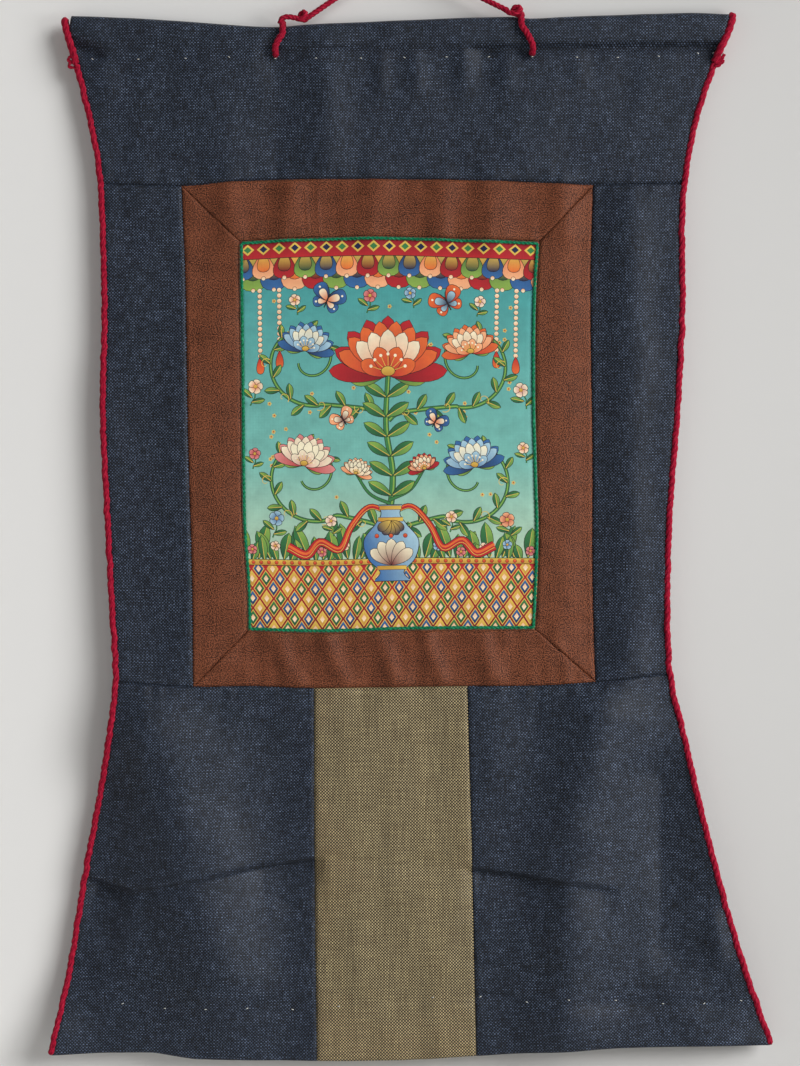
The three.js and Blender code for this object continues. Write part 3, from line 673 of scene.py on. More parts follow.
edgeLoop = {"bend": 3.3, "flare": 0.3, "rise": 9}
edgeRun = {"steps": 260, "slack": 0.35, "slackStretch": 0.7, "forward": 0.3, "bluntEnd": 1.6, "knotPitch": 8}
edgeKnots = {  # short ends and bights at each knot, from its middle: diameter, then x outwards, y, z
    "left": [
        (2.8, [(0, -2, 3), (4.4, -2.6, 4.6), (6, -2.6, 2), (2.6, -2.4, 0.8), (0, -1.6, 0.6)]),
        (2.8, [(0, -2, -0.4), (4, -2.8, 0.2), (5.4, -2.6, -2.8), (2.4, -2.2, -3.6), (0, -1.4, -3)]),
        (3.6, [(-1.6, -2.4, -3.4), (1, -3.4, 0), (1.6, -2.6, 3.4)]),
    ],
    "right": [
        (3.4, [(0, -2, -2.4), (3.4, -2.4, 0), (6, -2.2, 3.2), (7.6, -2, 6)]),
        (3.2, [(-0.6, -2.2, -4), (3, -2.6, -3), (5.6, -2.4, -0.6), (7.4, -2, 1)]),
    ],
}


def makeEdgeCord(side, edge):
    end, radius = edgeEnds[side], cords["edgeDiameter"] / 2
    heights = np.linspace(end["bottom"], end["knotZ"], edgeRun["steps"])
    beside = edge(heights)
    outside = end["side"] * (radius + cords["edgeGap"])
    slack = edgeRun["slack"] * puckers(heights * edgeRun["slackStretch"], 31 + end["side"])
    run = np.stack([beside + outside + slack, -relief(beside, heights) - edgeRun["forward"], heights], -1)
    knot, bend = run[-1], edgeLoop["bend"]
    shoulder = end["loopTop"] - radius - bend
    low = knot[2] + edgeLoop["rise"]
    high = (low + shoulder) / 2
    flare = edgeLoop["flare"]

    def rising(y):
        return [
            (knot[0], knot[1] + np.sign(y), knot[2]),
            (edge(low) + outside, y, low),
            ((edge(high) + outside) * (1 - flare) + end["loopX"] * flare, y, high),
            (end["loopX"], y, shoulder),
        ]

    over = rising(-bend) + [(end["loopX"], 0, shoulder + bend)] + rising(bend)[::-1]
    lumps = cords["lumps"]
    parts = twisted(run, cords["edgeDiameter"], cords["edgePitch"], fade=edgeRun["bluntEnd"], lumps=lumps)
    parts += twisted(over, cords["edgeDiameter"] * cords["loopSwell"], cords["edgePitch"], lumps=lumps)
    for diameter, points in edgeKnots[side]:
        bight = [knot + (end["side"] * x, y, z) for x, y, z in points]
        parts += twisted(bight, diameter, edgeRun["knotPitch"], strands=2, step=0.6, fade=0.8)
    piece = meshFromArrays(f"edge_cord_{side}_yarn", *joined(parts), crimson)
    settle(piece, "red_cord", f"edge_cord_{side}")


loops = {
    "left": {"topX": -90, "holeX": -95.5, "holeZ": -73},
    "right": {"topX": 96.5, "holeX": 105, "holeZ": -71.5},
}
loopShape = {
    "clearance": 0.7, "shoulderShare": 0.74, "shoulderBelow": 0.2, "straightBelow": 7, "aboveHole": 4.7,
    "easeIn": 0.4, "mouthShare": 0.55,
}
knotRoutes = {  # the cord's turns at each knot: x, y, z
    "left": [
        (-92, -4.6, -50), (-90.5, -5, -46), (-86, -5.2, -44.6), (-80, -4.8, -45.4), (-75.5, -6, -46.6),
        (-72, -6, -43.4), (-73.6, -3.4, -40.6), (-76.6, -2, -43.6), (-73.5, -2.4, -46.6),
        (-69.6, -3.1, -44.2),
    ],
    "right": [
        (83, -3.4, -38.1), (87, -5, -41.2), (91.6, -6.6, -42), (95.4, -6.4, -39.4), (94, -5, -37),
        (90.6, -4, -37.6), (90, -3, -40.6), (93.4, -4, -42.6), (97, -5, -44.6),
    ],
}


def makeHangerLoop(side):
    loop, shape, radius = loops[side], loopShape, cords["hangingDiameter"] / 2
    top = float(topOf(loop["topX"]))
    front = max(row[1] for row in pocketProfile) + shape["clearance"] + radius
    half = [
        (loop["topX"], 0, top + radius + shape["clearance"]),
        (loop["topX"], -front * shape["shoulderShare"], top - shape["shoulderBelow"]),
        (loop["topX"], -front, top - shape["straightBelow"]),
        ((loop["topX"] + loop["holeX"]) / 2, -front, (top + loop["holeZ"]) / 2),
        (loop["holeX"], -front + shape["easeIn"], loop["holeZ"] + shape["aboveHole"]),
        (loop["holeX"], -front * shape["mouthShare"], loop["holeZ"]),
        (loop["holeX"], 0, loop["holeZ"]),
    ]
    back = [(x, -y, z) for x, y, z in half[::-1]]
    thick = cords["hangingDiameter"] * cords["loopSwell"]
    parts = twisted(half + back[1:], thick, cords["hangingPitch"], step=0.7, lumps=cords["lumps"])
    parts += twisted(knotRoutes[side], cords["hangingDiameter"], cords["hangingPitch"], step=0.6)
    piece = meshFromArrays(f"hanger_loop_{side}_yarn", *joined(parts), crimson)
    settle(piece, "red_cord", f"hanger_loop_{side}")
    return piece


def makeHangingCord(knots):
    path = splineThrough(hangingRoute, 0.8)
    parts = twisted(hangingRoute, cords["hangingDiameter"], cords["hangingPitch"], step=0.8)
    piece = meshFromArrays("hanging_cord_yarn", *joined(parts), crimson)
    settle(piece, "red_cord", "hanging_cord")


def windowEdges(inset):
    return {
        "left": moved(windowLeft, inset), "right": moved(windowRight, -inset),
        "top": moved(windowTopOf, -inset), "bottom": moved(windowBottomOf, inset),
    }


# the piping's rounded corners and its place at the window's edge, with the window's rough size
pipingSetup = {"bend": 1.4, "clear": 0.3, "sink": 0.5, "width": 230, "height": 304, "stops": 40}


def makePiping():
    setup = pipingSetup
    edges = windowEdges(cords["pipingDiameter"] / 2 + setup["clear"])
    nearU, nearV = setup["bend"] / setup["width"], setup["bend"] / setup["height"]
    farU, farV = 1 - nearU, 1 - nearV
    u, v = [], []
    corners = ((farU, nearV, -90), (farU, farV, 0), (nearU, farV, 90), (nearU, nearV, 180))
    for centreU, centreV, start in corners:
        for degrees in (0, 30, 60, 90):
            angle = math.radians(start + degrees)
            u.append(centreU + nearU * math.cos(angle))
            v.append(centreV + nearV * math.sin(angle))
        ahead = math.radians(start + 90)
        spanU = (1 - 2 * nearU) * math.cos(ahead + math.pi / 2)
        spanV = (1 - 2 * nearV) * math.sin(ahead + math.pi / 2)
        for stop in np.linspace(0, 1, setup["stops"])[1:-1]:
            u.append(centreU + nearU * math.cos(ahead) + stop * spanU)
            v.append(centreV + nearV * math.sin(ahead) + stop * spanV)
    x, z = pointIn(edges, np.array(u), np.array(v))
    route = np.stack([x, -relief(x, z) - setup["sink"], z], -1)
    route = np.concatenate([route, route[:1]])
    parts = twisted(route, cords["pipingDiameter"], cords["pipingPitch"], strands=2, sides=7)
    piece = meshFromArrays("piping_yarn", *joined(parts), green)
    settle(piece, "green_cord", "piping")


makeEdgeCord("left", leftEdge)
makeEdgeCord("right", rightEdge)
makeHangingCord([makeHangerLoop("left"), makeHangerLoop("right")])
makePiping()
print("cords made")

# catch stitches of white thread along the pocket and the hem: x, height
stitches = {
    "reach": 0.75, "rise": 0.45, "thickness": 0.6, "root": 0.5, "proud": 0.1, "lean": 0.25,
    "pocket": [
        (-239, -76.5), (-203, -77), (-166, -76.5), (-132, -75.5), (-96, -76), (-64, -76.5), (-29, -76),
        (5, -75.5), (38, -75), (71, -74.5), (105, -74.5), (140, -75), (172, -75), (204, -74),
        (235, -71.5), (247, -71),
    ],
    "hem": [
        (-214, -813), (-181, -816), (-149, -816), (-117, -816), (-82, -818), (-46, -815), (27, -808),
        (64, -808), (100, -811), (132, -808), (169, -810), (206, -813), (238, -813), (267, -811),
    ],
}


def makeStitches():
    reach, rise, root = stitches["reach"], stitches["rise"], stitches["root"]
    parts = []
    for row, depth in (("pocket", pocketDepth), ("hem", hemDepth)):
        for x, z in stitches[row]:
            x, z = np.array(float(x)), np.array(float(z))
            y = float(-relief(x, z) - uneven(x, z) - depth(x, z)) - stitches["proud"]
            lean = chance.normal(0, stitches["lean"])
            thread = [
                (-reach, root, -lean), (-reach * 0.6, -rise * 0.6, -lean * 0.6), (0, -rise, 0),
                (reach * 0.6, -rise * 0.6, lean * 0.6), (reach, root, lean)]
            route = [(float(x) + a, y + b, float(z) + c) for a, b, c in thread]
            parts.append(strandAlong(splineThrough(route, 0.4), stitches["thickness"] / 2, 6))
    piece = meshFromArrays("catch_stitches", *joined(parts), white)
    settle(piece, "dark_cloth")


makeStitches()
print("stitches made")

# the canvas, painted with a generic design: a vase of scrolling flowers under a canopy, on a tiled floor
canvas = {
    "width": 228, "height": 302, "thickness": 1.2, "inset": 0.4, "behind": 0.1, "gridStep": 7,
    "gridInset": 4, "weld": 1e-4, "past": 3, "lineWidth": 0.42,
}
pigments = {
    "skyTop": "#2f8f92", "skyMiddle": "#74b3a8", "skyLow": "#cfd6b0", "red": "#b4262c", "deepRed": "#741420",
    "orange": "#df6a35", "peach": "#efb083", "cream": "#efe4c4", "green": "#3b7a44", "deepGreen": "#1c4a35",
    "leaf": "#8aab4c", "indigo": "#1c2447", "blue": "#38689f", "paleBlue": "#a4c6d4", "ochre": "#c08a38",
    "gold": "#dab552", "line": "#251a1b", "pink": "#d98a86",
}
blossoms = [  # x, y, size, turn in degrees, outer, middle and inner petals
    (0, 47, 47, 0, ("deepRed", "red"), ("red", "orange"), ("orange", "cream")),
    (-64, 66, 23, 12, ("indigo", "blue"), ("blue", "paleBlue"), ("paleBlue", "cream")),
    (64, 64, 23, -12, ("red", "orange"), ("orange", "peach"), ("peach", "cream")),
    (-66, -22, 25, 14, ("red", "pink"), ("pink", "cream"), ("cream", "cream")),
    (66, -24, 25, -14, ("indigo", "blue"), ("blue", "paleBlue"), ("paleBlue", "cream")),
    (-26, -30, 13, 20, ("orange", "peach"), ("peach", "cream"), ("cream", "cream")),
    (27, -27, 13, -20, ("deepRed", "red"), ("red", "peach"), ("peach", "cream")),
]
butterflies = [  # x, y, size, turn in degrees, wings and their spots
    (-47, 103, 15, 24, ("indigo", "blue"), ("orange", "cream")),
    (46, 101, 15, -28, ("red", "orange"), ("indigo", "paleBlue")),
    (-35, 11, 11, -32, ("orange", "peach"), ("deepRed", "cream")),
    (36, 9, 11, 30, ("indigo", "blue"), ("orange", "cream")),
]
sprigs = [  # x, y, size, turn in degrees, petals
    (-14, 106, 8, 10, ("red", "pink")), (17, 108, 7, -14, ("blue", "paleBlue")),
    (-103, 38, 9, 16, ("orange", "cream")), (103, 35, 9, -16, ("pink", "cream")),
    (-88, -64, 9, 14, ("blue", "paleBlue")), (90, -66, 9, -12, ("red", "peach")),
    (-104, -14, 7, 8, ("red", "pink")), (104, -10, 7, -10, ("orange", "cream")),
    (-72, 104, 7, -10, ("orange", "cream")), (71, 103, 7, 12, ("pink", "cream")),
    (-46, -66, 7, -8, ("pink", "cream")), (47, -64, 7, 6, ("orange", "cream")),
]
scrolls = [  # middle x, y, radius, start and end in degrees, inner radius
    (-62, 58, 37, -70, -520, 8), (62, 56, 37, 250, 700, 8),
    (-62, -30, 39, -55, -500, 8), (62, -32, 39, 235, 680, 8),
]
shapes = []  # outline, two colours and the line along which they blend, in the order of painting


def paint(outline, colour, toColour=None, start=(0, 0), end=(0, 1), edge=0):
    outline = np.asarray(outline, float)
    after = np.roll(outline, -1, axis=0)
    if (outline[:, 0] * after[:, 1] - outline[:, 1] * after[:, 0]).sum() < 0:
        outline = outline[::-1]
    if edge:  # a dark line round the shape, drawn as a larger shape below it
        along = np.roll(outline, -1, axis=0) - np.roll(outline, 1, axis=0)
        out = np.stack([along[:, 1], -along[:, 0]], -1)
        out = out / np.maximum(np.linalg.norm(along, axis=1), 1e-6)[:, None]
        shapes.append((outline + out * edge, "line", "line", start, end))
    shapes.append((outline, colour, toColour or colour, start, end))


def band(low, high, colour, toColour, edge=0):
    end = canvas["width"] / 2 + canvas["past"]
    paint([(-end, low), (end, low), (end, high), (-end, high)], colour, toColour, (0, low), (0, high), edge)


def stroke(points, startWidth, endWidth, colour, edge=0):
    points = np.asarray(points, float)
    along = np.gradient(points, axis=0)
    out = np.stack([along[:, 1], -along[:, 0]], -1) / np.linalg.norm(along, axis=1)[:, None]
    width = np.linspace(startWidth, endWidth, len(points))[:, None] / 2
    for extra, shade in ((edge, "line"), (0, colour)) if edge else ((0, colour),):
        left, right = points + out * (width + extra), points - out * (width + extra)
        for i in range(len(points) - 1):
            paint([left[i], left[i + 1], right[i + 1], right[i]], shade)


def disc(x, y, radius, colour, toColour=None, edge=0, sides=18, flat=1):
    turn = np.linspace(0, 2 * math.pi, sides, endpoint=False)
    outline = np.stack([x + radius * np.cos(turn), y + radius * flat * np.sin(turn)], -1)
    paint(outline, colour, toColour, (x, y - radius * flat), (x, y + radius * flat), edge)


def placed(points, x, y, degrees):
    turn = math.radians(degrees)
    points = np.asarray(points, float)
    return np.stack([
        x + points[:, 0] * math.cos(turn) + points[:, 1] * math.sin(turn),
        y - points[:, 0] * math.sin(turn) + points[:, 1] * math.cos(turn)], -1)


def petalSide(length, width, belly=0.8):
    t = np.linspace(0, 1, 9)
    across = 3 * (1 - t) ** 2 * t * 0.45 * width + 3 * (1 - t) * t * t * 0.78 * width
    along = 3 * (1 - t) ** 2 * t * 0.3 * length + 3 * (1 - t) * t * t * belly * length + t**3 * length
    return np.stack([across, along], -1)


def petal(x, y, degrees, length, width, colours, belly=0.8):
    side = petalSide(length, width, belly)
    outline = placed(np.concatenate([side, side[-2:0:-1] * (-1, 1)]), x, y, degrees)
    tip = placed([(0, length)], x, y, degrees)[0]
    paint(outline, colours[0], colours[1], (x, y), tip, canvas["lineWidth"])


def leaf(x, y, degrees, length, width):
    side = petalSide(length, width, 0.7)
    tip = placed([(0, length)], x, y, degrees)[0]
    whole = placed(np.concatenate([side, side[-2:0:-1] * (-1, 1)]), x, y, degrees)
    paint(whole, "deepGreen", "green", (x, y), tip, canvas["lineWidth"])
    paint(placed(side, x, y, degrees), "green", "leaf", (x, y), tip)
    vein = [(0, length * share) for share in (0.05, 0.45, 0.9)]
    stroke(placed(vein, x, y, degrees), 0.6, 0.25, "gold")


def rosette(x, y, size, turn, petals):
    for angle in range(0, 360, 72):
        petal(x, y, turn + angle, size, size * 0.95, petals, 1.0)
    disc(x, y, size * 0.26, "ochre", "gold", 0.2, sides=10)


def sprig(x, y, size, turn, petals):
    stroke(placed([(0, -size * 1.7), (size * 0.2, -size * 0.9), (0, 0)], x, y, turn), 0.8, 0.6, "green", 0.2)
    for side in (-1, 1):
        root = placed([(0, -size * (1.2 + 0.2 * side))], x, y, turn)[0]
        leaf(*root, turn + side * 64, size * 1.2, size * 0.48)
    rosette(x, y, size * 0.62, turn, petals)


def butterfly(x, y, size, turn, wings, spots):
    for angle, share in ((118, 0.72), (52, 1)):
        for side in (-1, 1):
            wing, lean = size * share, turn + side * angle
            petal(x, y, lean, wing, wing * 0.8, wings, 1.0)
            petal(x, y, lean, wing * 0.66, wing * 0.4, spots, 1.0)
            disc(*placed([(0, wing * 0.8)], x, y, lean)[0], size * 0.045 + 0.2, "cream", sides=8)
    stroke(placed([(0, -size * 0.4), (0, 0), (0, size * 0.35)], x, y, turn), 0.9, 1.5, "line")
    for side in (-1, 1):
        feeler = [(0, size * 0.3), (side * size * 0.12, size * 0.55), (side * size * 0.3, size * 0.7)]
        stroke(placed(feeler, x, y, turn), 0.4, 0.35, "line")


def lotus(x, y, size, turn, outer, middle, inner):
    for angle in (-105, 105, -88, 88):
        petal(x, y, turn + angle, size * 0.62, size * 0.24, ("deepGreen", "leaf"))
    rings = (
        (outer, 9, 84, 0.98, 0.33), (middle, 8, 64, 0.9, 0.31), (inner, 5, 42, 0.76, 0.29),
        (middle, 4, 62, 0.5, 0.27))
    for colours, count, spread, length, width in rings:
        order = sorted(np.linspace(-spread, spread, count), key=lambda a: -abs(a))
        for angle in order:
            petal(x, y - size * 0.06, turn + angle, size * length, size * width, colours, 0.86)
    for angle in np.linspace(-70, 70, 7):
        tip = placed([(0, size * 0.3)], x, y, turn + angle)[0]
        stroke([(x, y), (x + (tip[0] - x) * 0.6, y + (tip[1] - y) * 0.6), tip], 0.5, 0.4, "gold")
        disc(*tip, size * 0.022 + 0.25, "cream", sides=8)
    disc(x, y + size * 0.02, size * 0.11, "ochre", "gold", canvas["lineWidth"], flat=0.7)


def paintGround():
    halfX, halfY = canvas["width"] / 2, canvas["height"] / 2
    across, down = np.linspace(-halfX, halfX, 57), np.linspace(-halfY, halfY, 76)
    whole = [(x, -halfY) for x in across[:-1]] + [(halfX, y) for y in down[:-1]]
    whole += [(x, halfY) for x in across[:0:-1]] + [(-halfX, y) for y in down[:0:-1]]
    paint(whole, "skyLow")
    outY = halfY + canvas["past"]
    band(-20, outY, "skyMiddle", "skyTop")
    band(-outY, -20, "skyLow", "skyMiddle")
    for _ in range(70):  # small gold florets strewn over the ground
        x, y = chance.uniform(-98, 98), chance.uniform(-95, 105)
        for angle in np.radians(range(0, 360, 72)):
            disc(x + 1.1 * math.cos(angle), y + 1.1 * math.sin(angle), 0.62, "gold", sides=7)
        disc(x, y, 0.6, "red", sides=7)


def paintFloor():
    band(-canvas["height"] / 2 - canvas["past"], -99, "deepRed", "red", 0.5)
    for row in range(-1, 6):
        for column in range(-11, 12):
            x, y = column * 11 + (row % 2) * 5.5, -141 + row * 7.6
            tile = np.array([(0, -6.6), (4.6, 0), (0, 6.6), (-4.6, 0)])
            glaze = (("indigo", "blue"), ("ochre", "gold"), ("deepGreen", "green"))[(column + row * 2) % 3]
            paint(tile + (x, y), "gold")
            paint(tile * 0.84 + (x, y), *glaze, (x, y - 6), (x, y + 6))
            paint(tile * 0.42 + (x, y), "cream", "peach", (x, y - 3), (x, y + 3))
    for row, (base, length) in enumerate(((-96, 25), (-98, 17))):  # leaves behind the floor's edge
        for i, x in enumerate(np.arange(-114 + row * 5, 118, 10)):
            leaf(x, base, 24 * math.sin(i * 2.3 + row), length + 4 * math.sin(i * 1.7), length * 0.4)
    for i, x in enumerate(np.arange(-108, 110, 18)):
        petals = (("red", "pink"), ("orange", "cream"), ("blue", "paleBlue"))[i % 3]
        rosette(x, -88 + 3 * math.sin(i * 1.9), 3.6, i * 20, petals)
    band(-100, -96, "ochre", "gold", 0.5)
    for x in np.arange(-114, 115, 6):
        disc(x, -98, 1.3, "red", "orange", 0.25, sides=10)


def paintCanopy():
    kinds = (("deepRed", "red"), ("deepGreen", "leaf"), ("indigo", "blue"), ("orange", "peach"))
    for row, (length, width) in enumerate(((29, 22), (20, 18))):
        for i, x in enumerate(np.arange(-120 + row * 8, 121, 16)):
            dark, light = kinds[(i + 2 * row) % 4]
            petal(x, 141, 180, length, width, (dark, light), 1.0)
            petal(x, 141, 180, length * 0.72, width * 0.55, ("gold", dark), 1.0)
            disc(x, 141.5 - length, 1.5, "cream", "peach", 0.3, sides=12)
    band(137, canvas["height"] / 2 + canvas["past"], "red", "deepRed", 0.5)
    for i, x in enumerate(np.arange(-108, 109, 12)):
        paint([(x - 5, 144), (x, 139.6), (x + 5, 144), (x, 148.4)], "gold")
        paint([(x - 3, 144), (x, 141.4), (x + 3, 144), (x, 146.6)], "indigo" if i % 2 else "green")
    for x in (-99, -84, 84, 99):
        for y in np.arange(112, 60 + abs(x) % 9, -4.2):
            disc(x, y, 1.7, "peach", "cream", 0.3, sides=12)
        petal(x, y - 1, 180, 13, 6, ("red", "orange"), 1.0)


def paintStems():
    for x, y, radius, start, end, inside in scrolls:
        share = np.linspace(0, 1, 64)
        turn = np.radians(start + (end - start) * share)
        reach = radius + (inside - radius) * share**0.9
        spiral = np.stack([x + reach * np.cos(turn), y + reach * np.sin(turn)], -1)
        root = np.array([(0, y - 46), (np.sign(x) * 10, y - 40)])
        whole = np.concatenate([root, spiral])
        smooth = splineThrough(whole, 2.2)
        stroke(smooth, 3, 1.2, "green", canvas["lineWidth"])
        stroke(smooth, 0.9, 0.3, "leaf")
        heading = np.degrees(np.arctan2(*np.gradient(smooth, axis=0).T))
        for i in range(6, len(smooth) - 18, 5):
            side = 1 if (i // 5) % 2 else -1
            size = 15 * (1 - 0.5 * i / len(smooth))
            leaf(*smooth[i], heading[i] + side * 52, size, size * 0.44)
        for i in range(9, len(smooth) - 24, 14):
            curl = np.linspace(0, 4.8, 14)
            winding = np.stack([np.cos(curl + i), np.sin(curl + i)], -1) * (6 - curl[:, None]) * 0.8
            stroke(smooth[i] + winding - (4, 0), 0.6, 0.35, "gold")
    trunk = splineThrough([(0, -60), (2.5, -30), (-2, 5), (0, 46)], 3)
    stroke(trunk, 4.4, 3.2, "green", canvas["lineWidth"])
    stroke(trunk + (0.7, 0), 1.1, 0.8, "leaf")
    for x, y in ((-26, -30), (27, -27)):
        branch = splineThrough([(0, y - 24), (x * 0.6, y - 16), (x, y)], 3)
        stroke(branch, 2, 1.4, "green", canvas["lineWidth"])
    for i in range(4, len(trunk) - 6, 5):
        for side in (-1, 1):
            leaf(*trunk[i], side * 58, 21, 8.5)


def paintVase():
    right = splineThrough([(9, -55), (7, -62), (12, -70), (21, -82), (18, -96), (9, -106), (14, -113)], 2)
    for side in (-1, 1):  # a scarf tied round the neck
        knots = [(0, -62), (16, -56), (30, -70), (40, -88), (55, -82), (66, -92), (80, -86)]
        scarf = splineThrough(np.array(knots) * (side, 1), 2.5)
        stroke(scarf, 3, 7, "red", canvas["lineWidth"])
        stroke(scarf + (0, 1), 0.8, 2, "orange")
        stroke(scarf - (0, 1.6), 0.4, 0.5, "gold")
    paint(np.concatenate([right, right[::-1] * (-1, 1)]), "blue", "paleBlue", (-20, -90), (20, -74), 0.6)
    for y, half in ((-57, 8.4), (-66, 9.6), (-103, 11.5)):
        ring = [(-half, y - 1.4), (half, y - 1.4), (half, y + 1.4), (-half, y + 1.4)]
        paint(ring, "ochre", "gold", (-half, y), (half, y), 0.3)
    for angle in (-54, -27, 0, 27, 54):
        petal(0, -101, angle, 20, 9, ("deepRed", "cream"), 0.9)
    for angle in (126, 153, 180, 207, 234):
        petal(0, -67, angle, 12, 7, ("gold", "indigo"), 0.9)
    for x in (-11, 0, 11):
        disc(x, -78.5, 1.5, "red", "orange", 0.3, sides=12)


def paintDesign():
    paintGround()
    paintFloor()
    paintCanopy()
    paintStems()
    paintVase()
    for draw, rows in ((sprig, sprigs), (lotus, blossoms), (butterfly, butterflies)):
        for row in rows:
            draw(*row)


def cutUp(corners, outlines):
    flat, _, cut, _, _, cover = delaunay_2d_cdt(corners, [], outlines, 1, canvas["weld"])
    return np.array([tuple(p) for p in flat]), np.array([list(f) for f in cut]), cover


def rimOf(cut):
    sides = np.concatenate([cut[:, [0, 1]], cut[:, [1, 2]], cut[:, [2, 0]]]).tolist()
    paired = {(a, b) for a, b in sides}
    following = {a: b for a, b in sides if (b, a) not in paired}
    rim = [min(following)]
    while len(rim) < len(following):
        rim.append(following[rim[-1]])
    return rim


def paintColours(piece, flat, cut, onTop):
    colour = np.ones((len(piece.data.loops), 4), np.float32)
    tint = {name: np.array(linear(value)[:3]) for name, value in pigments.items()}
    starts = np.array([s[3] for s in shapes], float)[onTop]
    ends = np.array([s[4] for s in shapes], float)[onTop]
    first = np.array([tint[s[1]] for s in shapes])[onTop]
    second = np.array([tint[s[2]] for s in shapes])[onTop]
    run = ends - starts
    for k in range(3):
        share = ((flat[cut[:, k]] - starts) * run).sum(1) / (run**2).sum(1)
        share = np.clip(share, 0, 1)[:, None]
        colour[k:3 * len(cut):3, :3] = first * (1 - share) + second * share
    layer = piece.data.color_attributes.new("paint", "FLOAT_COLOR", "CORNER")
    layer.data.foreach_set("color", colour.ravel())


def makePainting():
    paintDesign()
    corners, outlines = [], []
    for outline, *_ in shapes:
        outlines.append(list(range(len(corners), len(corners) + len(outline))))
        corners.extend(outline.tolist())
    size = np.array((canvas["width"], canvas["height"]))
    ends = size / 2 - canvas["gridInset"]
    stops = [np.arange(-end, end + 1, canvas["gridStep"]) for end in ends]
    grid = np.stack(np.meshgrid(*stops), -1).reshape(-1, 2).tolist()
    flat, cut, cover = cutUp(corners + grid, outlines)
    onTop = np.array([max(ids) if ids and 0 in ids else -1 for ids in cover])
    cut, onTop = cut[onTop >= 0], onTop[onTop >= 0]
    used, cut = np.unique(cut, return_inverse=True)
    cut, flat = cut.reshape(-1, 3), flat[used]
    rim = rimOf(cut)
    # the back is plain, so it has only the rim's corners and the grid
    behind, plain, _ = cutUp(flat[rim].tolist() + grid, [list(range(len(rim)))])
    count = len(flat)
    flatBoth = np.concatenate([flat, behind])
    x, z = pointIn(windowEdges(canvas["inset"]), *(flatBoth / size + 0.5).T)
    depth = np.where(np.arange(len(flatBoth)) < count, 0, canvas["thickness"])
    points = np.stack([x, -relief(x, z) - canvas["behind"] + depth, z], -1)
    edges = zip(rim, rim[1:] + rim[:1], range(len(rim)), list(range(1, len(rim))) + [0])
    wall = [(a, count + i, count + j, b) for a, b, i, j in edges]
    faces = cut.tolist() + (plain[:, ::-1] + count).tolist() + wall
    piece = meshFromArrays("painting_canvas", points, faces, np.stack([x, z], -1), painted)
    piece.data.materials.append(sized)
    raw = np.zeros(len(faces), np.int32)
    raw[len(cut):] = 1
    piece.data.polygons.foreach_set("material_index", raw)
    paintColours(piece, flat, cut, onTop)
    settle(piece, "painted_canvas", "painting")
    print("painting has", len(cut), "painted triangles from", len(shapes), "shapes")


makePainting()
print("painting made")

# stage: pale wall and floor, soft light from the upper right; both carry a painted shade that darkens their
# paint towards the right
stageSetup = {
    "reach": 6000, "depth": 7000, "wallY": 10.6, "wallTop": 5000, "floorZ": -1000, "wall": "#e2e1df",
    "floor": "#dcdbd8", "grain": 33.33, "shadeReach": 330, "shadeLeft": 1.02, "shadeRight": 0.74,
}


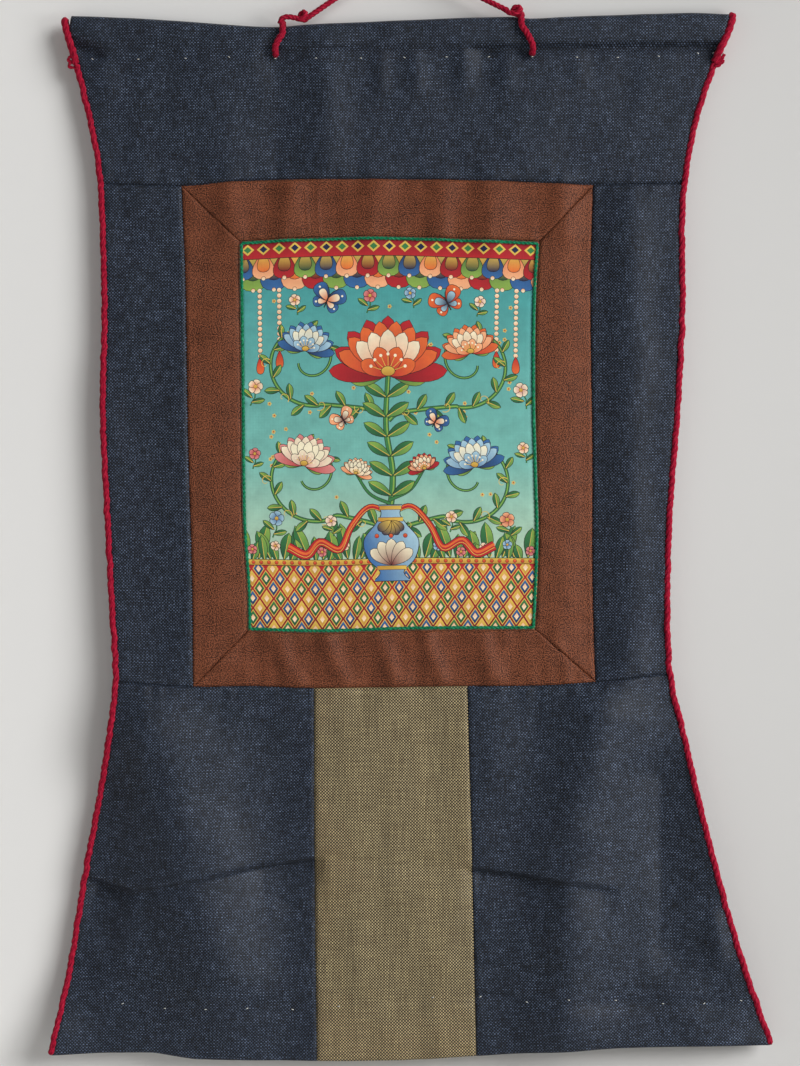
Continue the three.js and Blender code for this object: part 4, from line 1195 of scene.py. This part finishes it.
def makeStage():
    setup = stageSetup
    ends = (-setup["reach"], setup["reach"], setup["reach"], -setup["reach"])
    low, high, deep = setup["floorZ"], setup["wallTop"], setup["depth"]
    planes = {
        "wall": [(x, setup["wallY"], z) for x, z in zip(ends, (low, low, high, high))],
        "floor": [(x, y, low) for x, y in zip(ends, (-deep, -deep, deep, deep))],
    }
    for name, corners in planes.items():
        material, tree = newMaterial(f"matte_paint_{name}")
        grain = addNode(tree, "TexNoise", {"Scale": 1 / (setup["grain"] * mm), "Detail": 4})
        tint = addNode(tree, "MapRange", {0: grain, 3: 0.98, 4: 1.02})
        place = addNode(tree, "SeparateXYZ", {0: addNode(tree, "NewGeometry").outputs["Position"]})
        # painted shade: the colour of wall and floor falls from shadeLeft to shadeRight across x, standing in
        # for light that fades towards the right
        shade = addNode(tree, "MapRange", {
            0: place, 1: -setup["shadeReach"] * mm, 2: setup["shadeReach"] * mm,
            3: setup["shadeLeft"], 4: setup["shadeRight"]})
        tone = addNode(tree, "Math", {0: tint, 1: shade}, operation="MULTIPLY")
        coat = addNode(tree, "VectorMath", {0: linear(setup[name])[:3], "Scale": tone}, operation="SCALE")
        skin = addNode(
            tree, "BsdfPrincipled", {"Base Color": coat, "Roughness": 0.9, "Specular IOR Level": 0.1})
        if name == "wall":  # open from behind, so that the back of the hanging can be lit and seen
            clear = addNode(tree, "BsdfTransparent")
            behind = addNode(tree, "NewGeometry").outputs["Backfacing"]
            shadow = addNode(tree, "LightPath").outputs["Is Shadow Ray"]
            unseen = addNode(tree, "Math", {0: behind, 1: shadow}, operation="MAXIMUM")
            skin = addNode(tree, "MixShader", {0: unseen, 1: skin, 2: clear})
        addNode(tree, "OutputMaterial", {0: skin})
        meshFromArrays(name, corners, [[0, 1, 2, 3]], None, material)


lights = [  # name, kind, place and aim in metres, softness (degrees for the sun, else metres), strength
    ("key", "SUN", (1.9, -1.55, 1.15), (0, 0, 0), 36, 2.45),
    ("side", "AREA", (1.0, -0.75, -0.3), (0.1, 0, -0.4), 0.5, 5.5),
    ("back", "AREA", (0.7, 1.7, 0.3), (0, 0, -0.45), 1.5, 22),
    ("fill", "AREA", (-1.7, -1.8, -1.0), (-0.25, 0, -0.6), 2.4, 8),
]
roomLight = {"colour": "#f2f3f5", "strength": 0.16}


def makeLights():
    for name, kind, place, aim, softness, strength in lights:
        data = bpy.data.lights.new(name, kind)
        data.energy = strength
        if kind == "SUN":
            data.angle = math.radians(softness)
        else:
            data.size = softness
        lamp = bpy.data.objects.new(name, data)
        lamp.location = place
        direction = np.array(aim) - np.array(place)
        direction /= np.linalg.norm(direction)
        lamp.rotation_euler = (math.acos(-direction[2]), 0, math.atan2(-direction[0], direction[1]))
        bpy.context.collection.objects.link(lamp)
    world = bpy.data.worlds.new("studio")
    world.use_nodes = True
    background = world.node_tree.nodes["Background"]
    background.inputs[0].default_value = linear(roomLight["colour"])
    background.inputs[1].default_value = roomLight["strength"]
    bpy.context.scene.world = world
    bpy.context.scene.view_settings.view_transform = "Standard"


makeStage()
makeLights()
print("stage and lights made")
